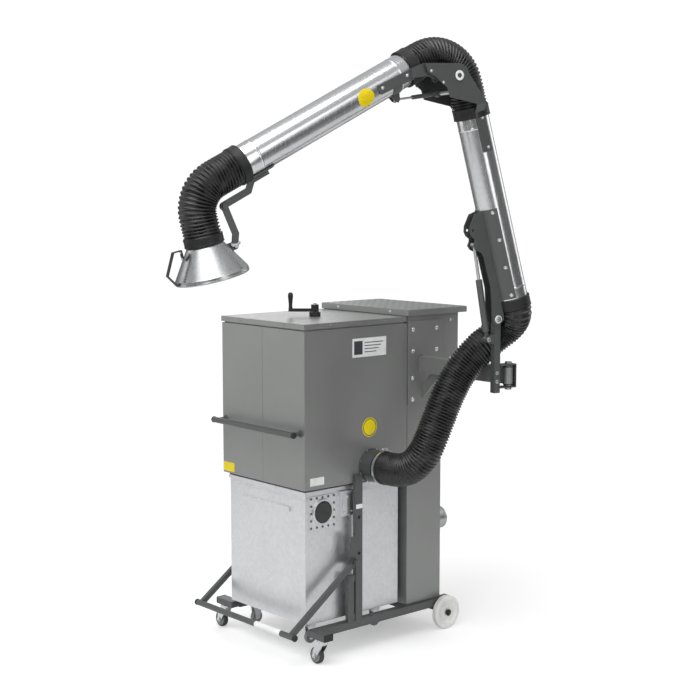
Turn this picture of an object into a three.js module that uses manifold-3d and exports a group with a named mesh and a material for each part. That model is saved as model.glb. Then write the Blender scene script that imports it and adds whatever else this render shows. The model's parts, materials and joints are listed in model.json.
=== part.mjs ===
// Mobile fume extractor: a filter cabinet over a wheeled dust bin, a fan tower behind it, and a
// jointed extraction arm with a hood. Millimetres, +Z up, front towards -Y, arm on the +X side.
import * as THREE from "three";
import { mergeVertices } from "three/addons/utils/BufferGeometryUtils.js";
import Module from "manifold-3d";

const wasm = await Module();
wasm.setup();

// ---------------------------------------------------------------- driving dimensions
// Clearances
const GAP = 0.4; // between pieces that touch
const RUNNING = 0.8; // radial, between a shaft and the bore that turns on it
const SIDE_PLAY = 2; // along a shaft

// Cabinet
const CABINET_WIDTH = 600;
const CABINET_DEPTH = 612;
const CABINET_BOTTOM = 777;
const CABINET_TOP = 1480;
const SHEET = 2.5; // wall of every sheet-metal housing
const DOOR_THICK = 2;
const DOOR_SEAM = 2; // where the two front panels meet, right of the middle
const LID_OVERHANG = 3;
const LID_GAP = 6; // dark joint between cabinet and lid
const LID_HEIGHT = 24;
const LID_DEPTH = 608;

// Tower behind the cabinet
const TOWER_DEPTH = 219;
const TOWER_GAP = 3;
const TOWER_BOTTOM = 148;
const TOWER_SPLIT = 1100; // lower duct below, fan housing above
const TOWER_RISE = 1; // over the lid
const TOWER_TOP = CABINET_TOP + LID_GAP + LID_HEIGHT + TOWER_RISE;
const MOTOR_BOX_DEPTH = 119;
const MOTOR_BOX_INSET = 8;
const COVER_HEIGHT = 27;
const COVER_OVERHANG = { left: 5, right: 12, back: 39 };

// Chassis
const RAIL_WIDTH = 40;
const RAIL_HEIGHT = 35;
const RAIL_TOP = 147;
const RAIL_FRONT = 75;
const RAIL_BACK = 880;
const OUTRIGGER_DEPTH = 50;
const OUTRIGGER_HEIGHT = 30;
const OUTRIGGER_OVERHANG = 97; // past the cabinet's side
const OUTRIGGER_REACH = CABINET_WIDTH / 2 + OUTRIGGER_OVERHANG; // from the middle to its capped end
const REAR_WHEEL = { radius: 80, width: 30, y: 838, axle: 10 };
const CASTER_INSET = 39; // from the outrigger's end
const CASTER = { radius: 37.5, width: 25, x: OUTRIGGER_REACH - CASTER_INSET, y: 50, trail: 36, axle: 5 };

// Dust bin and its lift
const BIN_SIDE_GAP = 7; // bin to chassis rail
const RAIL_OVERHANG = 2; // a rail's outer half past the cabinet's side
const BIN_FRONT = 22;
const BIN_BACK = 580;
const BIN_BOTTOM = 163;
const BIN_TOP = 766;
const BIN_SHEET = 2;
const BIN_RIM = { height: 16, out: 6 };
const BIN_WHEEL = { radius: 30, width: 20, axle: 6, x: 200, y: [110, 500], lift: 50 };
const POST = { width: 20, front: 278, back: 318, top: 815 };
const POST_STAY = { front: 232, back: 268, top: 360 };
const LEVER = {
  pivotY: 258, pivotZ: 425, pin: 9, thick: 18, depth: 25,
  barY: -112, barZ: 157, barRadius: 13.5, barOverhang: 18, cam: 118,
};

// Crank, filter and fan
const CRANK = { x: 14, y: 298, shaft: 8, hub: 18, reach: 112, angle: -131.5, grip: 73 };
const BEARING = { radius: 26, height: 20 };
const FILTER = { radius: 160, pleat: 24, pleats: 20, bore: 112, bottom: 880, y: 300 };
const FILTER_PLATE_Z = 1300;
const FAN = { y: 730, shaft: 12, radius: 95, bottom: 1236, depth: 50, blades: 7 };
const FAN_MOTOR = { radius: 88, height: 150 };
const MOTOR_SHELF_Z = 1326;

// Air inlet, exhaust and push bar
const INLET = { y: 390, z: 846, flange: 77, radius: 73, wall: 4, length: 78 };
const EXHAUST = { x: 150, z: 490, flange: 96, radius: 80, mouth: 52.5, wall: 4, length: 145 };
const PUSH_BAR = { radius: 13.5, y: -56, z: 1031, stem: 10, stemX: 275, overhang: 15 };

// Arm console
const CONSOLE = { thick: 5.6, front: 614, back: 832, bottom: 1100, top: 1487 };
const BEAM = { width: 40, bottom: 1246, top: 1322, wall: 4, neck: 20, neckLength: 38 };
const BEAM_REACH = 548; // from the cabinet's side to the swivel's axis
const SWIVEL = { x: CABINET_WIDTH / 2 + BEAM_REACH, y: 699, turn: -102, tube: 20, pin: 9.5 };
const FORK = { back: -28, front: 54, half: 22, thick: 6, clearance: 8 };
const MAST = { width: 30, bottom: 1212, top: 1556 };
const SHOULDER = { x: 74, z: 1534, lean: 15.66, pin: 8 };
const CLEVIS = { x: 114.5, z: 1447, half: 14, thick: 4, radius: 16 };

// Arm tubes, in each arm's own frame
const TUBE_RADIUS = 70;
const TUBE_WALL = 2;
const TUBE_SIDES = 28;
const BAND_SIDES = 36;
const LOWER_TUBE = { offset: 37.5, start: 40, end: 890 };
const SADDLE = { thick: 4, bottom: 73, top: 471, wrap: 72, finHalf: 22, finThick: 5 };
const SHOULDER_STRUT = { pinX: 22, pinZ: 339, tube: 14, rod: 7, tubeEnd: 262, rodStart: 130 };
const ELBOW = { x: -20, z: 1050, fold: 28, plateHalf: 100, plateThick: 5, pin: 9, washer: 20 };
const UPPER_TUBE = { height: 116, start: 150, end: 1010 };
const YOKE = { neckHalf: 85, strapThick: 4, bandStart: 236, bandEnd: 280 };
const ELBOW_STRUT = {
  pinX: 32, pinZ: 993, pin: 8, tube: 9, rod: 5, lugX: 258, lugZ: 24, lugHalf: 14, tubeEnd: 128, rodStart: 72,
};
const LINK = { pivotX: 1137, pivotZ: 7, pin: 6, thick: 6, half: 14 };

// Hood, in its own frame at the middle of the rim
// Its place is measured from the link's pivot on the upper arm: ahead and below
const HOOD = {
  radius: 144, lip: 19, neck: 70, coneTop: 130, top: 144, wall: 2, tilt: 14, ahead: 48.64, below: 271.81,
};
const HOOD_SIDES = 36;
const HOOD_LUG = { x: -117.6, z: 95.4, radius: 13 };
const HANDLE = { thick: 4, width: 24 };

// Hoses
const HOSE_RADIUS = 75;
const HOSE_WALL = 3;
const HOSE_SIDES = 12;
const CUFF = 25; // how far a hose end grips past a tube mouth
const CLAMP = { thick: 3.5, width: 12, inset: 8 };

// ---------------------------------------------------------------- shape helpers
const MERGE = 1e-3;
const DEG = Math.PI / 180;
const UP = new THREE.Vector3(0, 1, 0);
const v3 = (x, y, z) => new THREE.Vector3(x, y, z);

// A closed geometry as a manifold-3d solid, facing outwards whichever way its profile was drawn.
function solid(geometry) {
  const bare = geometry.index ? geometry.toNonIndexed() : geometry.clone();
  bare.deleteAttribute("normal");
  bare.deleteAttribute("uv");
  const merged = mergeVertices(bare, MERGE);
  const corners = merged.index.array;
  const kept = [];
  for (let i = 0; i < corners.length; i += 3) {
    const [a, b, c] = [corners[i], corners[i + 1], corners[i + 2]];
    if (a !== b && b !== c && a !== c) kept.push(a, b, c);
  }
  const make = (triVerts) =>
    new wasm.Manifold(
      new wasm.Mesh({
        numProp: 3,
        vertProperties: merged.attributes.position.array,
        triVerts: new Uint32Array(triVerts),
      }),
    );
  const made = make(kept);
  return made.volume() > 0 ? made : make(kept.reverse());
}

const join = (...solids) => solids.reduce((all, next) => all.add(next));
const cut = (body, ...tools) => tools.reduce((left, tool) => left.subtract(tool), body);

function box(x0, x1, y0, y1, z0, z1) {
  const geometry = new THREE.BoxGeometry(x1 - x0, y1 - y0, z1 - z0);
  return solid(geometry.translate((x0 + x1) / 2, (y0 + y1) / 2, (z0 + z1) / 2));
}

// A round bar between two points, tapered when the end radius differs.
function rod(from, to, radius, sides = 16, endRadius = radius) {
  const along = to.clone().sub(from);
  const geometry = new THREE.CylinderGeometry(endRadius, radius, along.length(), sides);
  geometry.applyQuaternion(new THREE.Quaternion().setFromUnitVectors(UP, along.normalize()));
  const middle = from.clone().add(to).multiplyScalar(0.5);
  return solid(geometry.translate(middle.x, middle.y, middle.z));
}

// A closed profile of [radius, distance] pairs turned about a line from `base` along `direction`.
function turned(profile, base, direction, sides = 32) {
  const points = profile.map(([radius, distance]) => new THREE.Vector2(radius, distance));
  const geometry = new THREE.LatheGeometry([...points, points[0]], sides);
  geometry.applyQuaternion(new THREE.Quaternion().setFromUnitVectors(UP, direction));
  return solid(geometry.translate(base.x, base.y, base.z));
}

const pipe = (from, to, outer, inner, sides) => {
  const length = from.distanceTo(to);
  const direction = to.clone().sub(from).normalize();
  return turned([[inner, 0], [outer, 0], [outer, length], [inner, length]], from, direction, sides);
};

const outlineShape = (points) => new THREE.Shape(points.map(([a, b]) => new THREE.Vector2(a, b)));
const flatExtrude = (shape, depth) =>
  new THREE.ExtrudeGeometry(shape, { depth, bevelEnabled: false, curveSegments: 8 });

// A plate with its outline in the XZ plane and its thickness from y0 to y1.
const plate = (outline, y0, y1) =>
  solid(flatExtrude(outlineShape(outline), y1 - y0).rotateX(Math.PI / 2).translate(0, y1, 0));

// A plate with its outline in the YZ plane and its thickness from x0 to x1.
const sidePlate = (outline, x0, x1) =>
  solid(
    flatExtrude(outlineShape(outline), x1 - x0)
      .applyMatrix4(new THREE.Matrix4().makeBasis(v3(0, 1, 0), v3(0, 0, 1), v3(1, 0, 0)))
      .translate(x0, 0, 0),
  );

// A flat strip of even thickness that follows a line of points in the XZ plane.
function strip(points, thickness, y0, y1) {
  const at = points.map(([x, z]) => new THREE.Vector2(x, z));
  const offset = (side) =>
    at.map((point, i) => {
      const before = at[Math.max(i - 1, 0)];
      const after = at[Math.min(i + 1, at.length - 1)];
      const inward = i ? point.clone().sub(before).normalize() : after.clone().sub(point).normalize();
      const outward = i < at.length - 1 ? after.clone().sub(point).normalize() : inward;
      const bisector = inward.clone().add(outward).normalize();
      const normal = new THREE.Vector2(-bisector.y, bisector.x);
      const stretch = (side * thickness) / 2 / bisector.dot(inward);
      return [point.x + normal.x * stretch, point.y + normal.y * stretch];
    });
  return plate([...offset(1), ...offset(-1).reverse()], y0, y1);
}

const circlePoints = (radius, sides) =>
  Array.from({ length: sides }, (_, i) => {
    const angle = (i / sides) * 2 * Math.PI;
    return new THREE.Vector2(radius * Math.cos(angle), radius * Math.sin(angle));
  });

// The stretch of a route between two shares of its length.
class Stretch extends THREE.Curve {
  constructor(route, from, to) {
    super();
    this.route = route;
    this.from = from;
    this.to = to;
  }
  getPoint(share) {
    return this.route.getPointAt(this.from + share * (this.to - this.from));
  }
}

const routeThrough = (points) => new THREE.CatmullRomCurve3(points, false, "centripetal");

// A hollow hose along a curve.
function hose(path, steps) {
  const section = new THREE.Shape(circlePoints(HOSE_RADIUS, HOSE_SIDES));
  section.holes.push(new THREE.Path(circlePoints(HOSE_RADIUS - HOSE_WALL, HOSE_SIDES)));
  return solid(new THREE.ExtrudeGeometry(section, { steps, extrudePath: path, bevelEnabled: false }));
}

// The two stretches of a route that is split at a share of its length.
function splitRoute(points, share) {
  const route = routeThrough(points);
  const gap = (2 * GAP) / route.getLength();
  return [new Stretch(route, 0, share), new Stretch(route, share + gap, 1)];
}

// Points in the XZ plane that leave `start` at `startAngle`, turn once clockwise with `radius`, and
// reach `end` at `endAngle`, both angles in degrees above +X.
function bend(start, startAngle, end, endAngle, radius) {
  const [from, to] = [startAngle * DEG, endAngle * DEG];
  const arcPoint = (angle) => [
    radius * (Math.sin(from) - Math.sin(angle)),
    radius * (Math.cos(angle) - Math.cos(from)),
  ];
  const turn = arcPoint(to);
  const rest = [end[0] - start[0] - turn[0], end[1] - start[1] - turn[1]];
  const det = Math.cos(from) * Math.sin(to) - Math.sin(from) * Math.cos(to);
  const lead = (rest[0] * Math.sin(to) - rest[1] * Math.cos(to)) / det;
  const points = [v3(start[0], 0, start[1])];
  points.push(v3(start[0] + (lead / 2) * Math.cos(from), 0, start[1] + (lead / 2) * Math.sin(from)));
  const arcSteps = 6;
  for (let i = 0; i <= arcSteps; i++) {
    const [dx, dz] = arcPoint(from + ((to - from) * i) / arcSteps);
    points.push(v3(start[0] + lead * Math.cos(from) + dx, 0, start[1] + lead * Math.sin(from) + dz));
  }
  const last = points.at(-1);
  points.push(v3((last.x + end[0]) / 2, 0, (last.z + end[1]) / 2), v3(end[0], 0, end[1]));
  return points;
}

// ---------------------------------------------------------------- materials
const finish = (color, roughness, metalness) =>
  new THREE.MeshStandardMaterial({ color, roughness, metalness });
const PAINT = finish(0x8b8e8d, 0.45, 0.1);
const DARK_PAINT = finish(0x565a5c, 0.5, 0.1);
const ALUMINIUM = finish(0xd8dadb, 0.25, 1);
const GALVANISED = finish(0xc3c6c8, 0.35, 1);
const ZINC = finish(0xb8bbbd, 0.3, 1);
const BLACK_PLASTIC = finish(0x1b1b1c, 0.55, 0);
const BLACK_HOSE = finish(0x121213, 0.6, 0);
const RUBBER = finish(0x2a2b2c, 0.8, 0);
const WHITE_NYLON = finish(0xeeeeec, 0.45, 0);
const FILTER_MEDIA = finish(0xe4e1d6, 0.9, 0);

// ---------------------------------------------------------------- scene graph
const extractor = new THREE.Group();
const frameAt = (parent, x, y, z) => {
  const group = new THREE.Group();
  group.position.set(x, y, z);
  parent.add(group);
  return group;
};

const armFrame = frameAt(extractor, SWIVEL.x, SWIVEL.y, 0);
armFrame.rotation.z = SWIVEL.turn * DEG;

const lowerArm = frameAt(armFrame, SHOULDER.x, 0, SHOULDER.z);
lowerArm.rotation.y = SHOULDER.lean * DEG;

const turnedXZ = (x, z, angle) => [
  x * Math.cos(angle * DEG) + z * Math.sin(angle * DEG),
  z * Math.cos(angle * DEG) - x * Math.sin(angle * DEG),
];
// A point of the lower arm's frame, and one of the upper arm's, in the arm frame.
const fromLower = (x, z) => {
  const [dx, dz] = turnedXZ(x, z, SHOULDER.lean);
  return [SHOULDER.x + dx, SHOULDER.z + dz];
};
const elbowPoint = fromLower(ELBOW.x, ELBOW.z);
const fromUpper = (x, z) => {
  const [dx, dz] = turnedXZ(x, z, ELBOW.fold);
  return [elbowPoint[0] + dx, elbowPoint[1] + dz];
};

const upperArm = frameAt(armFrame, elbowPoint[0], 0, elbowPoint[1]);
upperArm.rotation.y = ELBOW.fold * DEG;

const linkPivot = fromUpper(LINK.pivotX, LINK.pivotZ);
const hoodPoint = [linkPivot[0] + HOOD.ahead, linkPivot[1] - HOOD.below];
const hoodFrame = frameAt(armFrame, hoodPoint[0], 0, hoodPoint[1]);
hoodFrame.rotation.y = HOOD.tilt * DEG;
const fromHood = (x, z) => {
  const [dx, dz] = turnedXZ(x, z, HOOD.tilt);
  return [hoodPoint[0] + dx, hoodPoint[1] + dz];
};

// Hangs a solid in the scene graph as a named mesh.
function place(group, name, body, material) {
  const { vertProperties, triVerts, numProp } = body.getMesh();
  const geometry = new THREE.BufferGeometry();
  const positions = new Float32Array((vertProperties.length / numProp) * 3);
  for (let i = 0; i < positions.length / 3; i++) {
    positions.set(vertProperties.subarray(i * numProp, i * numProp + 3), i * 3);
  }
  geometry.setAttribute("position", new THREE.BufferAttribute(positions, 3));
  geometry.setIndex(new THREE.BufferAttribute(new Uint32Array(triVerts), 1));
  const mesh = new THREE.Mesh(geometry, material);
  mesh.name = name;
  group.add(mesh);
  return mesh;
}

const SIDES = [["left", -1], ["right", 1]];
const mirrorX = (body, side) => (side > 0 ? body : body.mirror([1, 0, 0]));
const mirrorY = (body, side) => (side > 0 ? body : body.mirror([0, 1, 0]));

// ---------------------------------------------------------------- cabinet
const halfWidth = CABINET_WIDTH / 2;
const doorSpace = DOOR_THICK + GAP;
const towerFront = CABINET_DEPTH + TOWER_GAP;
const towerBack = towerFront + TOWER_DEPTH;
const plenum = { half: 200, bottom: MOTOR_SHELF_Z + 10, top: CABINET_TOP - 20 };
const lidBottom = CABINET_TOP + LID_GAP;
const lidTop = lidBottom + LID_HEIGHT;

function cabinetShell() {
  const inner = halfWidth - SHEET;
  const [front, back] = [doorSpace, CABINET_DEPTH];
  const walls = cut(
    box(-halfWidth, halfWidth, front, back, CABINET_BOTTOM, CABINET_TOP),
    box(-inner, inner, front + SHEET, back - SHEET, CABINET_BOTTOM - 1, CABINET_TOP + 1),
  );
  // The neck that the lid closes over, one lid gap higher than the walls
  const neckInset = 2 * SHEET + LID_OVERHANG;
  const neckFront = front + neckInset;
  const neckBack = LID_DEPTH - LID_OVERHANG - neckInset;
  const neck = cut(
    box(-inner + SHEET, inner - SHEET, neckFront, neckBack, CABINET_TOP - LID_GAP, lidBottom + LID_GAP),
    box(
      -inner + 2 * SHEET, inner - 2 * SHEET, neckFront + SHEET, neckBack - SHEET,
      CABINET_TOP - 2 * LID_GAP, lidTop,
    ),
  );
  const shoulder = cut(
    box(-halfWidth, halfWidth, front, back, CABINET_TOP - LID_GAP, CABINET_TOP - LID_GAP + SHEET),
    box(
      -inner + 2 * SHEET, inner - 2 * SHEET, neckFront + SHEET, neckBack - SHEET,
      CABINET_TOP - 2 * LID_GAP, lidTop,
    ),
  );
  const filterPlate = cut(
    box(-inner - 1, inner + 1, front + 1, back - 1, FILTER_PLATE_Z, FILTER_PLATE_Z + SHEET),
    rod(v3(0, FILTER.y, FILTER_PLATE_Z - 5), v3(0, FILTER.y, FILTER_PLATE_Z + 9), FILTER.bore - 12, 32),
  );
  return cut(
    join(walls, neck, shoulder, filterPlate),
    rod(v3(halfWidth - 9, INLET.y, INLET.z), v3(halfWidth + 9, INLET.y, INLET.z), INLET.radius - INLET.wall),
    box(-plenum.half, plenum.half, back - 9, back + 9, plenum.bottom, plenum.top),
  );
}

function lid() {
  const [front, back] = [-LID_OVERHANG, LID_DEPTH - LID_OVERHANG];
  const half = halfWidth + LID_OVERHANG;
  return cut(
    box(-half, half, front, back, lidBottom, lidTop),
    box(-half + SHEET, half - SHEET, front + SHEET, back - SHEET, lidBottom - 1, lidTop - SHEET),
    rod(v3(CRANK.x, CRANK.y, lidBottom), v3(CRANK.x, CRANK.y, lidTop + 9), CRANK.shaft + 2 * RUNNING),
  );
}

function gasket() {
  const [bottom, top] = [BIN_TOP + GAP, CABINET_BOTTOM - GAP];
  const width = 14;
  const [half, front, back] = [halfWidth - 22, BIN_FRONT - 3, BIN_BACK + 3];
  return cut(
    box(-half, half, front, back, bottom, top),
    box(-half + width, half - width, front + width, back - width, bottom - 1, top + 1),
  );
}

place(extractor, "cabinet_shell", cabinetShell(), PAINT);
place(
  extractor, "front_panel_left",
  box(-halfWidth, DOOR_SEAM - GAP, 0, DOOR_THICK, CABINET_BOTTOM, CABINET_TOP), PAINT,
);
place(
  extractor, "front_panel_right",
  box(DOOR_SEAM + GAP, halfWidth, 0, DOOR_THICK, CABINET_BOTTOM, CABINET_TOP), PAINT,
);
place(extractor, "lid", lid(), PAINT);
place(extractor, "bin_gasket", gasket(), RUBBER);

function pushBar() {
  const reach = PUSH_BAR.stemX + PUSH_BAR.overhang;
  const bar = rod(v3(-reach, PUSH_BAR.y, PUSH_BAR.z), v3(reach, PUSH_BAR.y, PUSH_BAR.z), PUSH_BAR.radius);
  const stems = SIDES.map(([, side]) => {
    const x = side * PUSH_BAR.stemX;
    return rod(v3(x, PUSH_BAR.y, PUSH_BAR.z), v3(x, -GAP, PUSH_BAR.z), PUSH_BAR.stem);
  });
  return join(bar, ...stems);
}
place(extractor, "push_bar", pushBar(), DARK_PAINT);

// ---------------------------------------------------------------- filter and crank
function filterCartridge() {
  const top = FILTER_PLATE_Z - GAP;
  const [capHeight, ringHeight] = [10, 12];
  const outline = Array.from({ length: 2 * FILTER.pleats }, (_, i) => {
    const radius = FILTER.radius - (i % 2 ? FILTER.pleat : 0);
    const angle = (i * Math.PI) / FILTER.pleats;
    return new THREE.Vector2(radius * Math.cos(angle), radius * Math.sin(angle));
  });
  const shape = new THREE.Shape(outline);
  shape.holes.push(new THREE.Path(circlePoints(FILTER.bore, FILTER.pleats)));
  const media = solid(flatExtrude(shape, top - FILTER.bottom - ringHeight).translate(0, FILTER.y, FILTER.bottom));
  const at = (z) => v3(0, FILTER.y, z);
  const cap = rod(at(FILTER.bottom), at(FILTER.bottom + capHeight), FILTER.radius + 2, 32);
  const ring = pipe(at(top - ringHeight - 1), at(top), FILTER.radius + 6, FILTER.bore - 4, 32);
  return join(media, cap, ring);
}
place(extractor, "filter_cartridge", filterCartridge(), FILTER_MEDIA);

const bearingTop = lidTop + GAP + BEARING.height;
const crankAt = (z) => v3(CRANK.x, CRANK.y, z);
place(
  extractor, "crank_bearing",
  pipe(crankAt(lidTop + GAP), crankAt(bearingTop), BEARING.radius, CRANK.shaft + RUNNING, 24), BLACK_PLASTIC,
);

const crankDirection = v3(Math.cos(CRANK.angle * DEG), Math.sin(CRANK.angle * DEG), 0);
const crankArmBottom = bearingTop + SIDE_PLAY;
const crankArmTop = crankArmBottom + 14;
const gripAt = (z) => crankAt(z).addScaledVector(crankDirection, CRANK.reach);

function crankArm() {
  const armWidth = 20;
  const hubTop = crankArmTop + 18;
  const bottom = FILTER.bottom + 30;
  const blade = { half: 90, thick: 3, top: FILTER_PLATE_Z - 22 };
  const shaft = rod(crankAt(bottom), crankAt(hubTop - 5), CRANK.shaft, 16);
  const hub = rod(crankAt(crankArmBottom), crankAt(hubTop), CRANK.hub);
  const arm = solid(
    new THREE.BoxGeometry(CRANK.reach, armWidth, crankArmTop - crankArmBottom)
      .translate(CRANK.reach / 2, 0, (crankArmBottom + crankArmTop) / 2)
      .rotateZ(CRANK.angle * DEG)
      .translate(CRANK.x, CRANK.y, 0),
  );
  const end = rod(gripAt(crankArmBottom), gripAt(crankArmTop), armWidth / 2);
  const gripPin = rod(gripAt(crankArmTop - 2), gripAt(crankArmTop + CRANK.grip - 8), 4, 12);
  // The beater is narrower on the side where the shaft stands off the filter's middle
  const beater = box(
    CRANK.x - blade.half, CRANK.x + blade.half - 2 * CRANK.x,
    CRANK.y - blade.thick, CRANK.y + blade.thick, bottom + 2, blade.top,
  );
  return join(shaft, hub, arm, end, gripPin, beater);
}
place(extractor, "crank_arm", crankArm(), BLACK_PLASTIC);

const gripBottom = crankArmTop + GAP;
const gripProfile = [
  [4 + RUNNING, 0], [9, 0], [8.5, 12], [10, 34], [12, 58], [10.5, 69], [6, CRANK.grip], [4 + RUNNING, CRANK.grip],
];
place(extractor, "crank_grip", turned(gripProfile, gripAt(gripBottom), v3(0, 0, 1), 20), BLACK_PLASTIC);

// ---------------------------------------------------------------- tower
const exhaustHole = rod(
  v3(EXHAUST.x, towerBack - 9, EXHAUST.z), v3(EXHAUST.x, towerBack + 9, EXHAUST.z), EXHAUST.radius - EXHAUST.wall, 32,
);

function towerLower() {
  const inner = halfWidth - SHEET;
  const hollow = box(
    -inner, inner, towerFront + SHEET, towerBack - SHEET, TOWER_BOTTOM + SHEET, TOWER_SPLIT + 1,
  );
  const body = box(-halfWidth, halfWidth, towerFront, towerBack, TOWER_BOTTOM, TOWER_SPLIT - GAP);
  return cut(body, hollow, exhaustHole);
}

function fanHousing() {
  const inner = halfWidth - SHEET;
  const [front, back] = [towerFront + SHEET, towerBack - SHEET];
  const fanAt = (z) => v3(0, FAN.y, z);
  return cut(
    box(-halfWidth, halfWidth, towerFront, towerBack, TOWER_SPLIT, TOWER_TOP),
    box(-inner, inner, front, back, TOWER_SPLIT + SHEET, MOTOR_SHELF_Z),
    box(-inner, inner, front, back, MOTOR_SHELF_Z + SHEET, TOWER_TOP + 1),
    rod(fanAt(TOWER_SPLIT - 9), fanAt(TOWER_SPLIT + 9), FAN.radius, 32),
    rod(fanAt(MOTOR_SHELF_Z - 9), fanAt(MOTOR_SHELF_Z + 9), FAN.shaft + 4, 24),
    box(-plenum.half, plenum.half, towerFront - 9, towerFront + 9, plenum.bottom, plenum.top),
  );
}

function motorBox() {
  const half = halfWidth - MOTOR_BOX_INSET;
  const [front, back] = [towerBack + GAP, towerBack + MOTOR_BOX_DEPTH];
  const body = box(-half, half, front, back, TOWER_SPLIT, TOWER_TOP);
  const inside = [TOWER_SPLIT + SHEET, TOWER_TOP - SHEET];
  return cut(body, box(-half + SHEET, half - SHEET, front - 1, back - SHEET, ...inside));
}

function towerCover() {
  const [left, right] = [-halfWidth - COVER_OVERHANG.left, halfWidth + COVER_OVERHANG.right];
  const front = LID_DEPTH - LID_OVERHANG + 1;
  const back = towerBack + MOTOR_BOX_DEPTH + COVER_OVERHANG.back;
  const [bottom, top] = [TOWER_TOP + 1, TOWER_TOP + 1 + COVER_HEIGHT];
  return cut(
    box(left, right, front, back, bottom, top),
    box(left + SHEET, right - SHEET, front + SHEET, back - SHEET, bottom - 1, top - SHEET),
  );
}

function fanMotor() {
  const at = (z) => v3(0, FAN.y, z);
  const bottom = MOTOR_SHELF_Z + SHEET + GAP;
  const body = rod(at(bottom), at(bottom + FAN_MOTOR.height), FAN_MOTOR.radius, 32);
  const shaft = rod(at(FAN.bottom + GAP), at(bottom + 5), FAN.shaft, 16);
  const { radius } = FAN_MOTOR;
  const terminals = box(radius - 14, radius + 34, FAN.y - 40, FAN.y + 40, bottom + 40, bottom + 110);
  return join(body, shaft, terminals);
}

function impeller() {
  const at = (z) => v3(0, FAN.y, z);
  const top = FAN.bottom + FAN.depth;
  const bore = FAN.shaft + RUNNING;
  const disc = pipe(at(top - 4), at(top), FAN.radius, bore, 32);
  const hub = pipe(at(FAN.bottom + 10), at(top), 26, bore, 24);
  const blades = Array.from({ length: FAN.blades }, (_, i) =>
    solid(
      new THREE.BoxGeometry(FAN.radius - 30, 3, FAN.depth - 6)
        .translate(FAN.radius / 2 + 12, 0, top - (FAN.depth - 6) / 2 - 2)
        .rotateZ((i / FAN.blades) * 2 * Math.PI)
        .translate(0, FAN.y, 0),
    ),
  );
  return join(disc, hub, ...blades);
}

place(extractor, "tower_lower", towerLower(), PAINT);
place(extractor, "fan_housing", fanHousing(), PAINT);
place(extractor, "motor_box", motorBox(), PAINT);
place(extractor, "tower_cover", towerCover(), PAINT);
place(extractor, "fan_motor", fanMotor(), DARK_PAINT);
place(extractor, "impeller", impeller(), GALVANISED);

function exhaustSpigot() {
  const { flange, radius, mouth, wall, length } = EXHAUST;
  const profile = [
    [radius - wall, 0], [flange, 0], [flange, 4], [radius, 4], [radius, 46], [mouth, 96], [mouth, length],
    [mouth - wall, length], [mouth - wall, 98], [radius - wall, 48],
  ];
  return turned(profile, v3(EXHAUST.x, towerBack + GAP, EXHAUST.z), v3(0, 1, 0), 24);
}
place(extractor, "exhaust_spigot", exhaustSpigot(), ALUMINIUM);

function inletCollar() {
  const { flange, radius, wall, length } = INLET;
  const profile = [
    [radius - wall, 0], [flange, 0], [flange, 5], [radius, 5], [radius, length], [radius - wall, length],
  ];
  return turned(profile, v3(halfWidth + GAP, INLET.y, INLET.z), v3(1, 0, 0), 24);
}
place(extractor, "inlet_collar", inletCollar(), DARK_PAINT);

// ---------------------------------------------------------------- chassis
const binHalf = halfWidth + RAIL_OVERHANG - RAIL_WIDTH / 2 - BIN_SIDE_GAP; // rails run outside
const railInner = binHalf + BIN_SIDE_GAP;
const railOuter = railInner + RAIL_WIDTH;
const wheelInner = railOuter + 3;
const wheelOuter = wheelInner + REAR_WHEEL.width;

function chassisFrame() {
  const railBottom = RAIL_TOP - RAIL_HEIGHT;
  const outriggerBottom = RAIL_TOP - OUTRIGGER_HEIGHT;
  const outriggerFront = RAIL_FRONT - OUTRIGGER_DEPTH;
  const half = SIDES.map(([, side]) => {
    const rail = box(railInner, railOuter, outriggerFront, RAIL_BACK, railBottom, RAIL_TOP);
    const outrigger = box(railInner, OUTRIGGER_REACH, outriggerFront, RAIL_FRONT, outriggerBottom, RAIL_TOP);
    const underFront = box(
      railInner - 1, railOuter + 1, outriggerFront - 1, RAIL_FRONT, railBottom - 1, outriggerBottom,
    );
    const axleBracket = box(
      railOuter - 18, railOuter - 10, REAR_WHEEL.y - 26, REAR_WHEEL.y + 26,
      REAR_WHEEL.radius - REAR_WHEEL.axle - 8, railBottom + 1,
    );
    return mirrorX(join(cut(join(rail, outrigger), underFront), axleBracket), side);
  });
  const crossMembers = [towerFront + 25, towerBack - 44].map((y) =>
    box(-railInner - 1, railInner + 1, y, y + 40, railBottom, RAIL_TOP),
  );
  const axle = rod(
    v3(-wheelOuter - 3, REAR_WHEEL.y, REAR_WHEEL.radius), v3(wheelOuter + 3, REAR_WHEEL.y, REAR_WHEEL.radius),
    REAR_WHEEL.axle, 20,
  );
  return join(...half, ...crossMembers, axle);
}
place(extractor, "chassis_frame", chassisFrame(), DARK_PAINT);

function rearWheel() {
  const { radius, width, axle } = REAR_WHEEL;
  const [edge, recess, rim] = [4, 5, radius - 18];
  const profile = [
    [axle + RUNNING, recess], [rim, recess], [rim, 0], [radius - edge, 0], [radius, edge], [radius, width - edge],
    [radius - edge, width], [rim, width], [rim, width - recess], [axle + RUNNING, width - recess],
  ];
  return turned(profile, v3(wheelInner, REAR_WHEEL.y, radius), v3(1, 0, 0), 28);
}

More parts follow.
